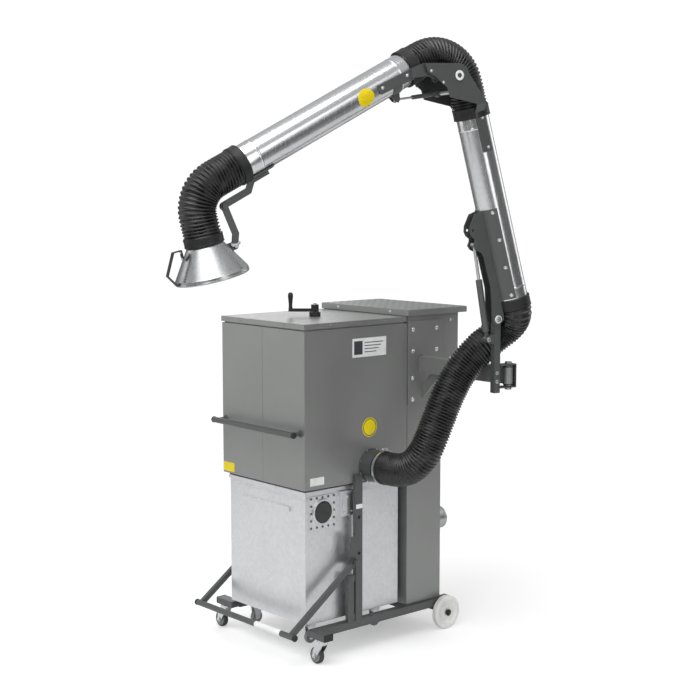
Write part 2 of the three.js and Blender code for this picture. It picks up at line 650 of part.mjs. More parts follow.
function casterFork() {
  const { radius, width, x, y, trail, axle } = CASTER;
  const top = RAIL_TOP - OUTRIGGER_HEIGHT - GAP;
  const crown = top - 10;
  const legIn = width / 2 + SIDE_PLAY;
  const legOut = legIn + 3;
  const axleX = x - trail;
  const leg = [
    [x - 22, crown], [x + 20, crown], [x + 16, crown - 16], [axleX + 13, radius - 4], [axleX, radius - 14],
    [axleX - 13, radius - 4], [axleX - 12, radius + 20],
  ];
  const bridgeBottom = 2 * radius + 6;
  return join(
    rod(v3(x, y, crown - 2), v3(x, y, top), 24, 24),
    plate(leg, y - legOut, y - legIn),
    plate(leg, y + legIn, y + legOut),
    box(x - 18, x + 18, y - legOut, y + legOut, bridgeBottom + 12, crown),
    rod(v3(axleX, y - legOut - 4, radius), v3(axleX, y + legOut + 4, radius), axle, 16),
  );
}

function roller({ radius, width, axle }, edge, base, direction) {
  const bore = axle + RUNNING;
  const profile = [
    [bore, 0], [radius - edge, 0], [radius, edge], [radius, width - edge], [radius - edge, width], [bore, width],
  ];
  return turned(profile, base, direction, 24);
}

for (const [sideName, side] of SIDES) {
  place(extractor, `rear_wheel_${sideName}`, mirrorX(rearWheel(), side), WHITE_NYLON);
  // Both casters trail to the same side, as they stand after a push across the floor
  const shift = side > 0 ? 0 : -2 * CASTER.x;
  const wheelBase = v3(CASTER.x - CASTER.trail, CASTER.y - CASTER.width / 2, CASTER.radius);
  place(extractor, `caster_fork_${sideName}`, casterFork().translate([shift, 0, 0]), ZINC);
  place(
    extractor, `caster_wheel_${sideName}`,
    roller(CASTER, 5, wheelBase, v3(0, 1, 0)).translate([shift, 0, 0]), RUBBER,
  );
}

// ---------------------------------------------------------------- dust bin and lift
const binWheels = SIDES.flatMap(([sideName, side]) =>
  BIN_WHEEL.y.map((y, i) => ({ name: `bin_wheel_${i ? "rear" : "front"}_${sideName}`, x: side * BIN_WHEEL.x, y })),
);
const binWheelZ = BIN_WHEEL.radius + BIN_WHEEL.lift;
const LATCH = { front: 214, back: 298, bottom: 629, top: 745, out: 15 };

function wasteBin() {
  const [half, t] = [binHalf, BIN_SHEET];
  const tub = box(-half, half, BIN_FRONT, BIN_BACK, BIN_BOTTOM, BIN_TOP);
  const rim = box(
    -half - BIN_RIM.out, half + BIN_RIM.out, BIN_FRONT - BIN_RIM.out, BIN_BACK + BIN_RIM.out,
    BIN_TOP - BIN_RIM.height, BIN_TOP,
  );
  const inside = box(-half + t, half - t, BIN_FRONT + t, BIN_BACK - t, BIN_BOTTOM + t + 1, BIN_TOP + 1);
  const latches = SIDES.map(([, side]) =>
    mirrorX(box(half - 1, half + LATCH.out, LATCH.front, LATCH.back, LATCH.bottom, LATCH.top), side),
  );
  const handle = box(-185, 171, BIN_FRONT - 9, BIN_FRONT + 1, 664, 685);
  const brackets = binWheels.map(({ x, y }) => {
    const inner = BIN_WHEEL.width / 2 + SIDE_PLAY;
    const cheek = [
      [y - 26, BIN_BOTTOM + 1], [y + 26, BIN_BOTTOM + 1], [y + 12, binWheelZ - 10], [y - 12, binWheelZ - 10],
    ];
    return join(
      sidePlate(cheek, x - inner - 3, x - inner),
      sidePlate(cheek, x + inner, x + inner + 3),
      rod(v3(x - inner - 5, y, binWheelZ), v3(x + inner + 5, y, binWheelZ), BIN_WHEEL.axle, 16),
    );
  });
  return join(cut(join(tub, rim, ...latches, handle), inside), ...brackets);
}
place(extractor, "waste_bin", wasteBin(), GALVANISED);

for (const { name, x, y } of binWheels) {
  const base = v3(x - BIN_WHEEL.width / 2, y, binWheelZ);
  place(extractor, name, roller(BIN_WHEEL, 3, base, v3(1, 0, 0)), RUBBER);
}

function sightWindow() {
  const [y, z, glass] = [119, 666, 50];
  const half = 75;
  const x = binHalf + GAP;
  const flange = box(x, x + 3, y - half, y + half, z - half, z + half);
  const ring = pipe(v3(x, y, z), v3(x + 10, y, z), glass + 9, glass, 32);
  const pane = rod(v3(x, y, z), v3(x + 6, y, z), glass + 1, 32);
  return join(flange, ring, pane);
}
place(extractor, "sight_window", sightWindow(), BLACK_PLASTIC);

const postInner = halfWidth + 2;
const postOuter = postInner + POST.width;
const leverInner = postOuter + 3;
const leverOuter = leverInner + LEVER.thick;

function liftPost() {
  const bottom = RAIL_TOP + GAP;
  const holes = [622, 456].map((z) => {
    const y = (POST.front + POST.back) / 2;
    return rod(v3(postInner - 5, y, z), v3(postOuter + 5, y, z), 8, 16);
  });
  const post = cut(box(postInner, postOuter, POST.front, POST.back, bottom, POST.top), ...holes);
  const stay = box(postInner, postOuter, POST_STAY.front, POST_STAY.back, bottom, POST_STAY.top);
  const webs = [bottom, POST_STAY.top - 30].map((z) =>
    box(postInner + 4, postOuter - 4, POST_STAY.back - 1, POST.front + 1, z, z + 30),
  );
  const { pivotY, pivotZ, pin } = LEVER;
  const lug = box(postInner, postOuter, pivotY - 16, POST.front + 1, pivotZ - 20, pivotZ + 20);
  const pivot = rod(v3(postOuter - 2, pivotY, pivotZ), v3(leverOuter + 6, pivotY, pivotZ), pin, 20);
  return join(post, stay, ...webs, lug, pivot);
}

function liftLever() {
  const { pivotY, pivotZ, pin, depth, barY, barZ, barRadius, barOverhang, cam } = LEVER;
  const barEnd = leverOuter + barOverhang;
  const along = new THREE.Vector2(barY - pivotY, barZ - pivotZ).normalize();
  const across = new THREE.Vector2(-along.y, along.x).multiplyScalar(depth / 2);
  const armOutline = [
    [pivotY + across.x, pivotZ + across.y], [pivotY - across.x, pivotZ - across.y],
    [barY - across.x, barZ - across.y], [barY + across.x, barZ + across.y],
  ];
  const camOutline = [
    [pivotY - 34, pivotZ - 30], [pivotY + 16, pivotZ - 18], [pivotY + 16, pivotZ + cam - 22],
    [pivotY + 4, pivotZ + cam], [pivotY - 12, pivotZ + cam - 4],
  ];
  const arms = SIDES.map(([, side]) => {
    const bar = sidePlate(armOutline, leverInner, leverOuter);
    const arm = join(bar, sidePlate(camOutline, leverInner, leverInner + 6));
    const hub = rod(v3(leverInner, pivotY, pivotZ), v3(leverOuter, pivotY, pivotZ), pin + 9, 24);
    const bore = rod(v3(leverInner - 5, pivotY, pivotZ), v3(leverOuter + 5, pivotY, pivotZ), pin + RUNNING, 20);
    return mirrorX(cut(join(arm, hub), bore), side);
  });
  return join(...arms, rod(v3(-barEnd, barY, barZ), v3(barEnd, barY, barZ), barRadius, 24));
}

for (const [sideName, side] of SIDES) {
  place(extractor, `lift_post_${sideName}`, mirrorX(liftPost(), side), DARK_PAINT);
}
place(extractor, "lift_lever", liftLever(), DARK_PAINT);

// ---------------------------------------------------------------- console and swivel
const plateOuter = halfWidth + GAP + CONSOLE.thick;
place(
  extractor, "console_plate",
  box(halfWidth + GAP, plateOuter, CONSOLE.front, CONSOLE.back, CONSOLE.bottom, CONSOLE.top), PAINT,
);

function consoleBeam() {
  const { width, bottom, top, wall, neck, neckLength } = BEAM;
  const start = plateOuter + GAP;
  const tubeEdge = SWIVEL.x - SWIVEL.tube;
  const neckStart = tubeEdge - neckLength;
  const y = SWIVEL.y;
  const bar = cut(
    box(start, neckStart, y - width / 2, y + width / 2, bottom, top),
    box(start - 1, neckStart - wall, y - width / 2 + wall, y + width / 2 - wall, bottom + wall, top - wall),
  );
  const link = box(neckStart - 1, SWIVEL.x, y - neck / 2, y + neck / 2, bottom, top);
  // A flat brace at 45 degrees from the console plate to the underside of the bar
  const brace = plate(
    [[start, bottom - 122], [start, bottom - 56], [start + 57, bottom + 1], [start + 123, bottom + 1]], y + 6, y + 14,
  );
  const swivelAt = (z) => v3(SWIVEL.x, y, z);
  const [tubeBottom, tubeTop] = [bottom - 6, top + 6];
  return cut(
    join(bar, link, brace, rod(swivelAt(tubeBottom), swivelAt(tubeTop), SWIVEL.tube, 24)),
    rod(swivelAt(tubeBottom - 5), swivelAt(tubeTop + 5), SWIVEL.pin + RUNNING, 24),
  );
}
place(extractor, "console_beam", consoleBeam(), PAINT);

const forkBottom = BEAM.bottom - FORK.clearance - FORK.thick;
const forkTop = BEAM.top + FORK.clearance + FORK.thick;

function swivelPost() {
  const { back, front, half, thick } = FORK;
  const forkHole = rod(v3(0, 0, forkBottom - 5), v3(0, 0, forkTop + 5), SWIVEL.pin + GAP, 24);
  const plates = [forkBottom, forkTop - thick].map((z) => box(back, front + 1, -half, half, z, z + thick));
  const closing = box(back, back + 4, -half, half, forkBottom, forkTop);
  const mastFront = front + MAST.width;
  const mast = box(front, mastFront, -MAST.width / 2, MAST.width / 2, MAST.bottom, MAST.top);
  const ears = [-1, 1].map((side) => {
    const outline = [
      [mastFront - 1, CLEVIS.z - 22], [mastFront - 1, CLEVIS.z + 22], [CLEVIS.x, CLEVIS.z + CLEVIS.radius],
      [CLEVIS.x + CLEVIS.radius, CLEVIS.z], [CLEVIS.x, CLEVIS.z - CLEVIS.radius],
    ];
    return mirrorY(plate(outline, CLEVIS.half - CLEVIS.thick, CLEVIS.half), side);
  });
  const clevisPin = rod(v3(CLEVIS.x, -CLEVIS.half - 4, CLEVIS.z), v3(CLEVIS.x, CLEVIS.half + 4, CLEVIS.z), 6, 16);
  const shoulderPin = rod(
    v3(SHOULDER.x, -SADDLE.finHalf - 8, SHOULDER.z), v3(SHOULDER.x, SADDLE.finHalf + 8, SHOULDER.z), SHOULDER.pin, 20,
  );
  return join(cut(join(...plates, closing, mast), forkHole), ...ears, clevisPin, shoulderPin);
}
place(armFrame, "swivel_post", swivelPost(), DARK_PAINT);

function swivelPin() {
  const head = 15;
  return join(
    rod(v3(0, 0, forkBottom - 10), v3(0, 0, forkTop + 9), SWIVEL.pin, 24),
    rod(v3(0, 0, forkTop + GAP), v3(0, 0, forkTop + 9), head, 6),
    rod(v3(0, 0, forkBottom - 10), v3(0, 0, forkBottom - GAP), head, 6),
  );
}
place(armFrame, "swivel_pin", swivelPin(), ZINC);

// ---------------------------------------------------------------- lower arm
const lowerAxis = -(TUBE_RADIUS + LOWER_TUBE.offset);
const lowerAt = (z) => v3(lowerAxis, 0, z);
place(
  lowerArm, "lower_tube",
  pipe(lowerAt(LOWER_TUBE.start), lowerAt(LOWER_TUBE.end), TUBE_RADIUS, TUBE_RADIUS - TUBE_WALL, TUBE_SIDES),
  ALUMINIUM,
);

function shoulderSaddle() {
  const { thick, bottom, top, wrap, finHalf, finThick } = SADDLE;
  const inner = TUBE_RADIUS + GAP;
  const wedge = [[lowerAxis, 0], ...[-wrap, -wrap / 2, 0, wrap / 2, wrap].map((angle) => [
    lowerAxis + 2 * TUBE_RADIUS * Math.cos(angle * DEG), 2 * TUBE_RADIUS * Math.sin(angle * DEG),
  ])];
  const wrapZone = solid(flatExtrude(outlineShape(wedge), top - bottom).translate(0, 0, bottom));
  const wrapRing = pipe(lowerAt(bottom), lowerAt(top), inner + thick, inner, BAND_SIDES).intersect(wrapZone);
  const back = lowerAxis + TUBE_RADIUS - 12;
  const finOutline = [
    [back, bottom], [-34, 20], [-28, -12], [0, -28], [22, -18], [29, 14], [12, 90], [2, 141], [2, 279], [8, 299],
    [34, 320], [42, 340], [30, 355], [26, 366], [40, 383], [44, 403], [36, 426], [0, 467], [back, top],
  ];
  const tubeSpace = rod(lowerAt(-60), lowerAt(top + 60), inner, BAND_SIDES);
  const hoseSpace = rod(lowerAt(-90), lowerAt(LOWER_TUBE.start + CUFF), HOSE_RADIUS + 4, BAND_SIDES);
  const fins = [-1, 1].map((side) => {
    const fin = plate(finOutline, finHalf - finThick / 2, finHalf + finThick / 2);
    const lockHole = rod(v3(26, finHalf - 9, 404), v3(26, finHalf + 9, 404), 6, 16);
    const pivotHole = rod(v3(0, finHalf - 9, 0), v3(0, finHalf + 9, 0), SHOULDER.pin + RUNNING, 20);
    return mirrorY(cut(fin, tubeSpace, hoseSpace, lockHole, pivotHole), side);
  });
  return join(wrapRing, ...fins);
}
place(lowerArm, "shoulder_saddle", shoulderSaddle(), DARK_PAINT);

const strapInner = TUBE_RADIUS + GAP;
const ELBOW_OUTLINE = [
  [126, 1135], [-40, 1096], [-65, 1074], [-69, 1052], [-124, 922], [-121, 911], [-79, 917], [43, 976], [46, 1017],
  [88, 1069], [122, 1097],
];

function elbowPlate(side) {
  const { plateHalf, plateThick, pin, washer, x, z } = ELBOW;
  const inner = plateHalf - plateThick / 2;
  const outer = plateHalf + plateThick / 2;
  const cheek = plate(ELBOW_OUTLINE, inner, outer);
  const [tabBack, tabFront] = [lowerAxis - 16, lowerAxis + 29];
  // The tab steps in from the cheek to the strap that is riveted to the tube
  const foot = [
    [strapInner, 712], [strapInner + 4, 712], [strapInner + 4, 878], [outer, 914], [outer, 930], [inner, 930],
    [inner, 915], [strapInner, 884],
  ];
  const strap = sidePlate(foot, tabBack, tabFront);
  const pivot = rod(v3(x, YOKE.neckHalf - 8, z), v3(x, outer + 7, z), pin, 20);
  const ring = rod(v3(x, outer - 1, z), v3(x, outer + 4, z), washer, 32);
  return mirrorY(join(cheek, strap, pivot, ring), side);
}
for (const [sideName, side] of SIDES) {
  place(lowerArm, `elbow_plate_${sideName}`, elbowPlate(side), DARK_PAINT);
}
const crossHalf = ELBOW.plateHalf - ELBOW.plateThick / 2 - GAP;
const crossAt = (y) => v3(ELBOW_STRUT.pinX, y, ELBOW_STRUT.pinZ);
place(lowerArm, "elbow_cross_pin", rod(crossAt(-crossHalf), crossAt(crossHalf), ELBOW_STRUT.pin, 20), ZINC);

// ---------------------------------------------------------------- upper arm
const upperAt = (x) => v3(x, 0, UPPER_TUBE.height);
place(
  upperArm, "upper_tube",
  pipe(upperAt(UPPER_TUBE.start), upperAt(UPPER_TUBE.end), TUBE_RADIUS, TUBE_RADIUS - TUBE_WALL, TUBE_SIDES),
  ALUMINIUM,
);

const tubeLine = UPPER_TUBE.height;
const underTube = tubeLine - TUBE_RADIUS;

// The part of a band round the upper tube that lies below height z.
function bandBelow(x0, x1, z, thick) {
  const band = pipe(upperAt(x0), upperAt(x1), TUBE_RADIUS + GAP + thick, TUBE_RADIUS + GAP, BAND_SIDES);
  const reach = 2 * TUBE_RADIUS;
  return band.intersect(box(x0 - 1, x1 + 1, -reach, reach, tubeLine - reach, z));
}

function elbowYoke() {
  const { neckHalf, strapThick, bandStart, bandEnd } = YOKE;
  const { lugX, lugZ, lugHalf } = ELBOW_STRUT;
  const strapOuter = strapInner + strapThick;
  const neckOuter = neckHalf + strapThick / 2;
  const neckInner = neckHalf - strapThick / 2;
  const strapOutline = [
    [351, tubeLine + 10], [171, tubeLine + 1], [193, tubeLine - 41], [351, tubeLine - 30],
  ];
  const neckOutline = [
    [-20, 8], [-4, 22], [40, 40], [118, 113], [178, 120], [197, 84], [128, 60], [60, -10], [16, -24], [-14, -18],
  ];
  const joggle = [[171, tubeLine + 1], [178, 118], [197, 84], [193, tubeLine - 41]];
  const hole = rod(v3(0, neckInner - 5, 0), v3(0, neckOuter + 5, 0), ELBOW.pin + RUNNING, 20);
  const cheeks = [-1, 1].map((side) =>
    mirrorY(
      join(
        plate(strapOutline, strapInner, strapOuter),
        cut(plate(neckOutline, neckInner, neckOuter), hole),
        plate(joggle, strapInner, neckOuter),
      ),
      side,
    ),
  );
  const band = bandBelow(bandStart, bandEnd, tubeLine, strapThick);
  const lugs = [-1, 1].map((side) => {
    const ear = [
      [bandStart, underTube], [bandEnd, underTube], [lugX + 12, lugZ - 4], [lugX, lugZ - 14], [lugX - 12, lugZ - 4],
    ];
    return mirrorY(plate(ear, lugHalf - 4, lugHalf), side);
  });
  const tubeSpace = rod(upperAt(bandStart - 40), upperAt(bandEnd + 90), TUBE_RADIUS + GAP, BAND_SIDES);
  return join(...cheeks, band, ...lugs.map((lug) => cut(lug, tubeSpace)));
}
place(upperArm, "elbow_yoke", elbowYoke(), DARK_PAINT);

function hoodBracket() {
  const { pivotX, pivotZ, pin, thick } = LINK;
  const foot = bandBelow(888, 990, underTube + 12, 4);
  const line = [[905, underTube - 6], [985, underTube - 6], [1016, 10], [pivotX + 6, 10]];
  const bar = strip(line, 28, -thick / 2, thick / 2);
  const hub = rod(v3(pivotX, -thick / 2, pivotZ), v3(pivotX, thick / 2, pivotZ), 17, 24);
  const tubeSpace = rod(upperAt(860), upperAt(UPPER_TUBE.end + 30), TUBE_RADIUS + GAP, BAND_SIDES);
  const hole = rod(v3(pivotX, -thick, pivotZ), v3(pivotX, thick, pivotZ), pin + RUNNING, 16);
  return cut(join(cut(join(bar, hub), tubeSpace), foot), hole);
}
place(upperArm, "hood_bracket", hoodBracket(), DARK_PAINT);

// ---------------------------------------------------------------- hood and its link
const linkEnd = fromHood(HOOD_LUG.x, HOOD_LUG.z);
const linkInner = LINK.thick / 2 + GAP + 0.2;
const linkOuter = linkInner + LINK.thick;

function hoodLink() {
  const kink = [linkEnd[0] - 4, linkEnd[1] + 46];
  const bar = strip([linkPivot, kink, linkEnd], 2 * LINK.half, linkInner, linkOuter);
  const eyes = [linkPivot, linkEnd].map(([x, z]) => rod(v3(x, linkInner, z), v3(x, linkOuter, z), LINK.half + 2, 24));
  const pivotPin = rod(
    v3(linkPivot[0], -LINK.thick / 2 - 6, linkPivot[1]), v3(linkPivot[0], linkOuter + 6, linkPivot[1]), LINK.pin, 16,
  );
  const head = rod(v3(linkPivot[0], linkOuter, linkPivot[1]), v3(linkPivot[0], linkOuter + 6, linkPivot[1]), 12, 6);
  const endAt = (y) => v3(linkEnd[0], y, linkEnd[1]);
  const hole = rod(endAt(linkInner - 5), endAt(linkOuter + 5), 5 + RUNNING);
  return join(cut(join(bar, ...eyes), hole), pivotPin, head);
}
place(armFrame, "hood_link", hoodLink(), DARK_PAINT);

function hoodCone() {
  const { radius, lip, neck, coneTop, top, wall } = HOOD;
  const profile = [
    [radius - wall, 0], [radius, 0], [radius, lip], [neck, coneTop], [neck, top], [neck - wall, top],
    [neck - wall, coneTop - 1], [radius - wall, lip - 1],
  ];
  const cone = turned(profile, v3(0, 0, 0), v3(0, 0, 1), HOOD_SIDES);
  const { x, z, radius: lugRadius } = HOOD_LUG;
  const half = LINK.thick / 2;
  const slope = (height) => -(radius - ((height - lip) * (radius - neck)) / (coneTop - lip));
  const lug = join(
    plate(
      [[slope(z - 22) + 1, z - 22], [slope(z + 14) + 1, z + 14], [x, z + lugRadius], [x, z - lugRadius]], -half, half,
    ),
    rod(v3(x, -half, z), v3(x, half, z), lugRadius, 24),
  );
  const hole = rod(v3(x, -half - 5, z), v3(x, half + 5, z), 5 + RUNNING, 16);
  const hollow = turned(
    [
      [0, -5], [radius - wall, -5], [radius - wall, lip - 1], [neck - wall, coneTop - 1], [neck - wall, top + 5],
      [0, top + 5],
    ],
    v3(0, 0, 0), v3(0, 0, 1), HOOD_SIDES,
  );
  return join(cone, cut(lug, hole, hollow));
}
place(hoodFrame, "hood_cone", hoodCone(), ALUMINIUM);

function hoodHandle() {
  const half = HANDLE.width / 2;
  const path = [[101, 101], [101, 134], [134, 134], [178, 54], [149, 8]];
  const loop = strip(path, HANDLE.thick, -half, half);
  const keepOut = turned(
    [
      [0, -20], [HOOD.radius + GAP, -20], [HOOD.radius + GAP, HOOD.lip], [HOOD.neck + GAP, HOOD.coneTop],
      [0, HOOD.coneTop + 40],
    ],
    v3(0, 0, 0), v3(0, 0, 1), HOOD_SIDES,
  );
  return cut(loop, keepOut);
}
place(hoodFrame, "hood_handle", hoodHandle(), BLACK_PLASTIC);

function wingScrew() {
  const { x, z } = HOOD_LUG;
  const at = (y) => v3(x, y, z);
  const wings = [-1, 1].map((side) =>
    plate(
      [[x, z - 5], [x + side * 20, z + 3], [x + side * 20, z + 15], [x, z + 6]],
      linkOuter + 9, linkOuter + 13,
    ),
  );
  return join(
    rod(at(-LINK.thick / 2 - 8), at(linkOuter + 20), 5, 16),
    rod(at(linkOuter + GAP), at(linkOuter + 14), 9, 16),
    ...wings,
    rod(at(-LINK.thick / 2 - 8), at(-LINK.thick / 2 - GAP), 9, 6),
  );
}
place(hoodFrame, "wing_screw", wingScrew(), ZINC);

// ---------------------------------------------------------------- struts
// A gas strut in its own frame: +Z runs from its lower eye to its upper one.
function strutTube({ tube, rod: rodRadius, tubeEnd }, eyeHalf, pinRadius, neckEnd) {
  const eye = rod(v3(0, -eyeHalf, 0), v3(0, eyeHalf, 0), pinRadius + 6, 20);
  const neck = box(-pinRadius, pinRadius, -eyeHalf + 2, eyeHalf - 2, 0, neckEnd + 1);
  const barrel = rod(v3(0, 0, neckEnd), v3(0, 0, tubeEnd), tube, 20);
  const bore = rod(v3(0, 0, neckEnd + 14), v3(0, 0, tubeEnd + 5), rodRadius + RUNNING, 20);
  const pinHole = rod(v3(0, -eyeHalf - 5, 0), v3(0, eyeHalf + 5, 0), pinRadius + RUNNING, 20);
  return cut(join(eye, neck, barrel), bore, pinHole);
}

function strutRod({ rod: rodRadius, rodStart }, length, eyeHalf) {
  return join(
    rod(v3(0, 0, rodStart), v3(0, 0, length), rodRadius, 16),
    rod(v3(0, -eyeHalf, length), v3(0, eyeHalf, length), rodRadius + 4, 20),
  );
}

function strutFrame(from, to) {
  const frame = frameAt(armFrame, from[0], 0, from[1]);
  frame.rotation.y = Math.atan2(to[0] - from[0], to[1] - from[1]);
  return frame;
}
const spanOf = (from, to) => Math.hypot(to[0] - from[0], to[1] - from[1]);

const shoulderStrutFoot = [CLEVIS.x, CLEVIS.z];
const shoulderStrutHead = fromLower(SHOULDER_STRUT.pinX, SHOULDER_STRUT.pinZ);
const shoulderStrut = strutFrame(shoulderStrutFoot, shoulderStrutHead);
const shoulderEye = CLEVIS.half - CLEVIS.thick - 1;
place(shoulderStrut, "shoulder_strut_tube", strutTube(SHOULDER_STRUT, shoulderEye, 6, 36), DARK_PAINT);
place(
  shoulderStrut, "shoulder_strut_rod",
  strutRod(SHOULDER_STRUT, spanOf(shoulderStrutFoot, shoulderStrutHead), 12), ZINC,
);

const elbowStrutFoot = fromLower(ELBOW_STRUT.pinX, ELBOW_STRUT.pinZ);
const elbowStrutHead = fromUpper(ELBOW_STRUT.lugX, ELBOW_STRUT.lugZ);
const elbowStrut = strutFrame(elbowStrutFoot, elbowStrutHead);
place(elbowStrut, "elbow_strut_tube", strutTube(ELBOW_STRUT, 14, ELBOW_STRUT.pin, 30), DARK_PAINT);
place(elbowStrut, "elbow_strut_rod", strutRod(ELBOW_STRUT, spanOf(elbowStrutFoot, elbowStrutHead), 8), ZINC);

// ---------------------------------------------------------------- hoses
// The long hose leaves the inlet, hangs in a loop, rises past the console beam behind the mast and
// turns over into the lower tube. It is split where the swivel ends and the shoulder begins.
const inletMouth = halfWidth + GAP + INLET.length;
// Each point is a share of the way from the inlet's mouth to the swivel, then Y and Z.
const HOSE_RISE = [
  [0.2462, 388, 852], [0.4059, 395, 880], [0.5081, 410, 935], [0.5549, 432, 1001],
  [0.5911, 462, 1089], [0.6167, 500, 1180], [0.6422, 545, 1262], [0.6934, 592, 1337],
  [0.7487, 640, 1394], [0.7785, 678, 1424], [0.8254, 710, 1453], [0.8893, 733, 1485],
  [0.9553, 741, 1519],
];
const HOSE_SPLIT = 0.77;

const armToRoot = (x, z) => {
  const turn = SWIVEL.turn * DEG;
  return v3(SWIVEL.x + x * Math.cos(turn), SWIVEL.y + x * Math.sin(turn), z);
};
const hoseLead = 40; // straight stretch at each end
const lowerRoute = [
  v3(inletMouth + GAP, INLET.y, INLET.z),
  v3(inletMouth + hoseLead, INLET.y, INLET.z),
  ...HOSE_RISE.map(([share, y, z]) => v3(inletMouth + share * (SWIVEL.x - inletMouth), y, z)),
  armToRoot(...fromLower(lowerAxis, LOWER_TUBE.start - hoseLead)),
  armToRoot(...fromLower(lowerAxis, LOWER_TUBE.start - GAP)),
];
const [lowerHoseA, lowerHoseB] = splitRoute(lowerRoute, HOSE_SPLIT);
place(extractor, "lower_hose_a", hose(lowerHoseA, 14), BLACK_HOSE);
place(extractor, "lower_hose_b", hose(lowerHoseB, 7), BLACK_HOSE);

function hoseClamp() {
  const start = inletMouth + CLAMP.inset;
  const inner = HOSE_RADIUS + 1;
  const at = (x) => v3(x, INLET.y, INLET.z);
  const band = pipe(at(start), at(start + CLAMP.width), inner + CLAMP.thick, inner, 28);
  const top = INLET.z + inner;
  const screwBox = box(start - 1, start + CLAMP.width + 1, INLET.y - 14, INLET.y + 14, top + 1, top + 14);
  return join(band, screwBox);
}
place(extractor, "hose_clamp", hoseClamp(), ZINC);

const elbowHoseStart = fromLower(lowerAxis, LOWER_TUBE.end + GAP);
const elbowHoseEnd = fromUpper(UPPER_TUBE.start - GAP, UPPER_TUBE.height);
const elbowRoute = bend(elbowHoseStart, 90 - SHOULDER.lean, elbowHoseEnd, -ELBOW.fold, 150);
place(armFrame, "elbow_hose", hose(routeThrough(elbowRoute), 12), BLACK_HOSE);

const HOOD_HOSE_SPLIT = 0.55;
const hoodHoseStart = fromUpper(UPPER_TUBE.end + GAP, UPPER_TUBE.height);
const hoodHoseEnd = fromHood(0, HOOD.top + GAP);
const hoodRoute = bend(hoodHoseStart, -ELBOW.fold, hoodHoseEnd, -90 - HOOD.tilt, 130);
const [hoodHoseA, hoodHoseB] = splitRoute(hoodRoute, HOOD_HOSE_SPLIT);
place(armFrame, "hood_hose_a", hose(hoodHoseA, 6), BLACK_HOSE);
place(armFrame, "hood_hose_b", hose(hoodHoseB, 5), BLACK_HOSE);

// ---------------------------------------------------------------- origin
// The origin is on the floor, under the middle of the whole machine's box.
extractor.updateMatrixWorld(true);
const extent = new THREE.Box3().setFromObject(extractor, true);
const middle = extent.getCenter(v3(0, 0, 0));
extractor.position.set(-middle.x, -middle.y, -extent.min.z);

export default extractor;
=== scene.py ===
"""Looks of a mobile fume extractor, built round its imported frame: sheet-metal cabinet and tower,
wheeled dust bin, extraction arm with ribbed hoses, hood, chassis, wheels and a soft stage.
Lengths are in millimetres unless a comment says otherwise, and MM turns them into metres."""
import json
import math

import bmesh
import bpy
import numpy as np
from mathutils import Matrix, Vector


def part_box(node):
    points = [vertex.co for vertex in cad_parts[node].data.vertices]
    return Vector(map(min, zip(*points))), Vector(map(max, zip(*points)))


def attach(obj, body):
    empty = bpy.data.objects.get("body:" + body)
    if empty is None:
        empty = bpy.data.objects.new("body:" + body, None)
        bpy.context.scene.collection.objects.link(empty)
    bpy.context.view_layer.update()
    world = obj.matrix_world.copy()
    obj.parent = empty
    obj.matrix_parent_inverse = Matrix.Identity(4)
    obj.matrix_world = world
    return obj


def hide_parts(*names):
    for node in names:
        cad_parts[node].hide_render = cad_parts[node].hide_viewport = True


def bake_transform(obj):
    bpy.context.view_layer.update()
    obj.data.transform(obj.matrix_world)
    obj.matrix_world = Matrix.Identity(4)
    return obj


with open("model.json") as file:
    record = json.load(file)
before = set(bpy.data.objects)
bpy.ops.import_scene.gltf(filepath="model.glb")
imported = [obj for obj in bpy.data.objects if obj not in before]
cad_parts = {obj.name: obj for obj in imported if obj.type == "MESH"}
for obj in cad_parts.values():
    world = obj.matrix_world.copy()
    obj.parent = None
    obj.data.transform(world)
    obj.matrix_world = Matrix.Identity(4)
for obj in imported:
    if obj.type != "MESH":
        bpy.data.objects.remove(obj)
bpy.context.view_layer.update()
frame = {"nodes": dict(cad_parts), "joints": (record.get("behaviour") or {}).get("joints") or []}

bl_info = {
    "name": "Fume Extractor Looks",
    "version": (1, 0, 0),
    "blender": (4, 5, 0),
    "location": "View3D > Sidebar > Extractor",
    "description": "Builds the finished pieces and materials of a mobile fume extractor",
    "category": "Add Mesh",
}

MM = 0.001

# ------------------------------------------------------------------ places
JOINTS = {joint["name"]: joint for joint in frame["joints"]}


class Place:
    """A local frame in millimetres: at() gives a point of it in the object's metres."""

    def __init__(self, origin, x=(1, 0, 0), y=(0, 1, 0), z=(0, 0, 1)):
        self.origin = Vector(origin)
        self.axes = Matrix((x, y, z)).transposed()

    def at(self, x, y, z):
        return self.origin + self.axes @ Vector((x, y, z)) * MM

    def many(self, points):
        axes = np.array(self.axes)
        return np.asarray(points, float) @ axes.T * MM + np.array(self.origin)

    def along(self, base, direction):
        """A place whose Z axis runs along direction from base, both in this one's terms."""
        z = (self.axes @ Vector(direction)).normalized()
        helper = Vector((1, 0, 0)) if abs(z.x) < 0.8 else Vector((0, 1, 0))
        x = helper.cross(z).normalized()
        return Place(self.at(*base), x, z.cross(x), z)

    def turned(self, x, z, degrees):
        """A place at (x, z) of this one's XZ plane, leaning forward by that angle."""
        a = math.radians(degrees)
        u, w = self.axes.col[0], self.axes.col[2]
        forward = u * math.cos(a) - w * math.sin(a)
        up = u * math.sin(a) + w * math.cos(a)
        return Place(self.at(x, 0, z), forward, self.axes.col[1], up)


def joint_point(name):
    return Vector(JOINTS[name]["pos_m"])


CABINET = [Vector(corner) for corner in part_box("cabinet_shell")]
DOOR = [Vector(corner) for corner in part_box("front_panel_left")]
BASE = Place(((CABINET[0].x + CABINET[1].x) / 2, DOOR[0].y, 0))

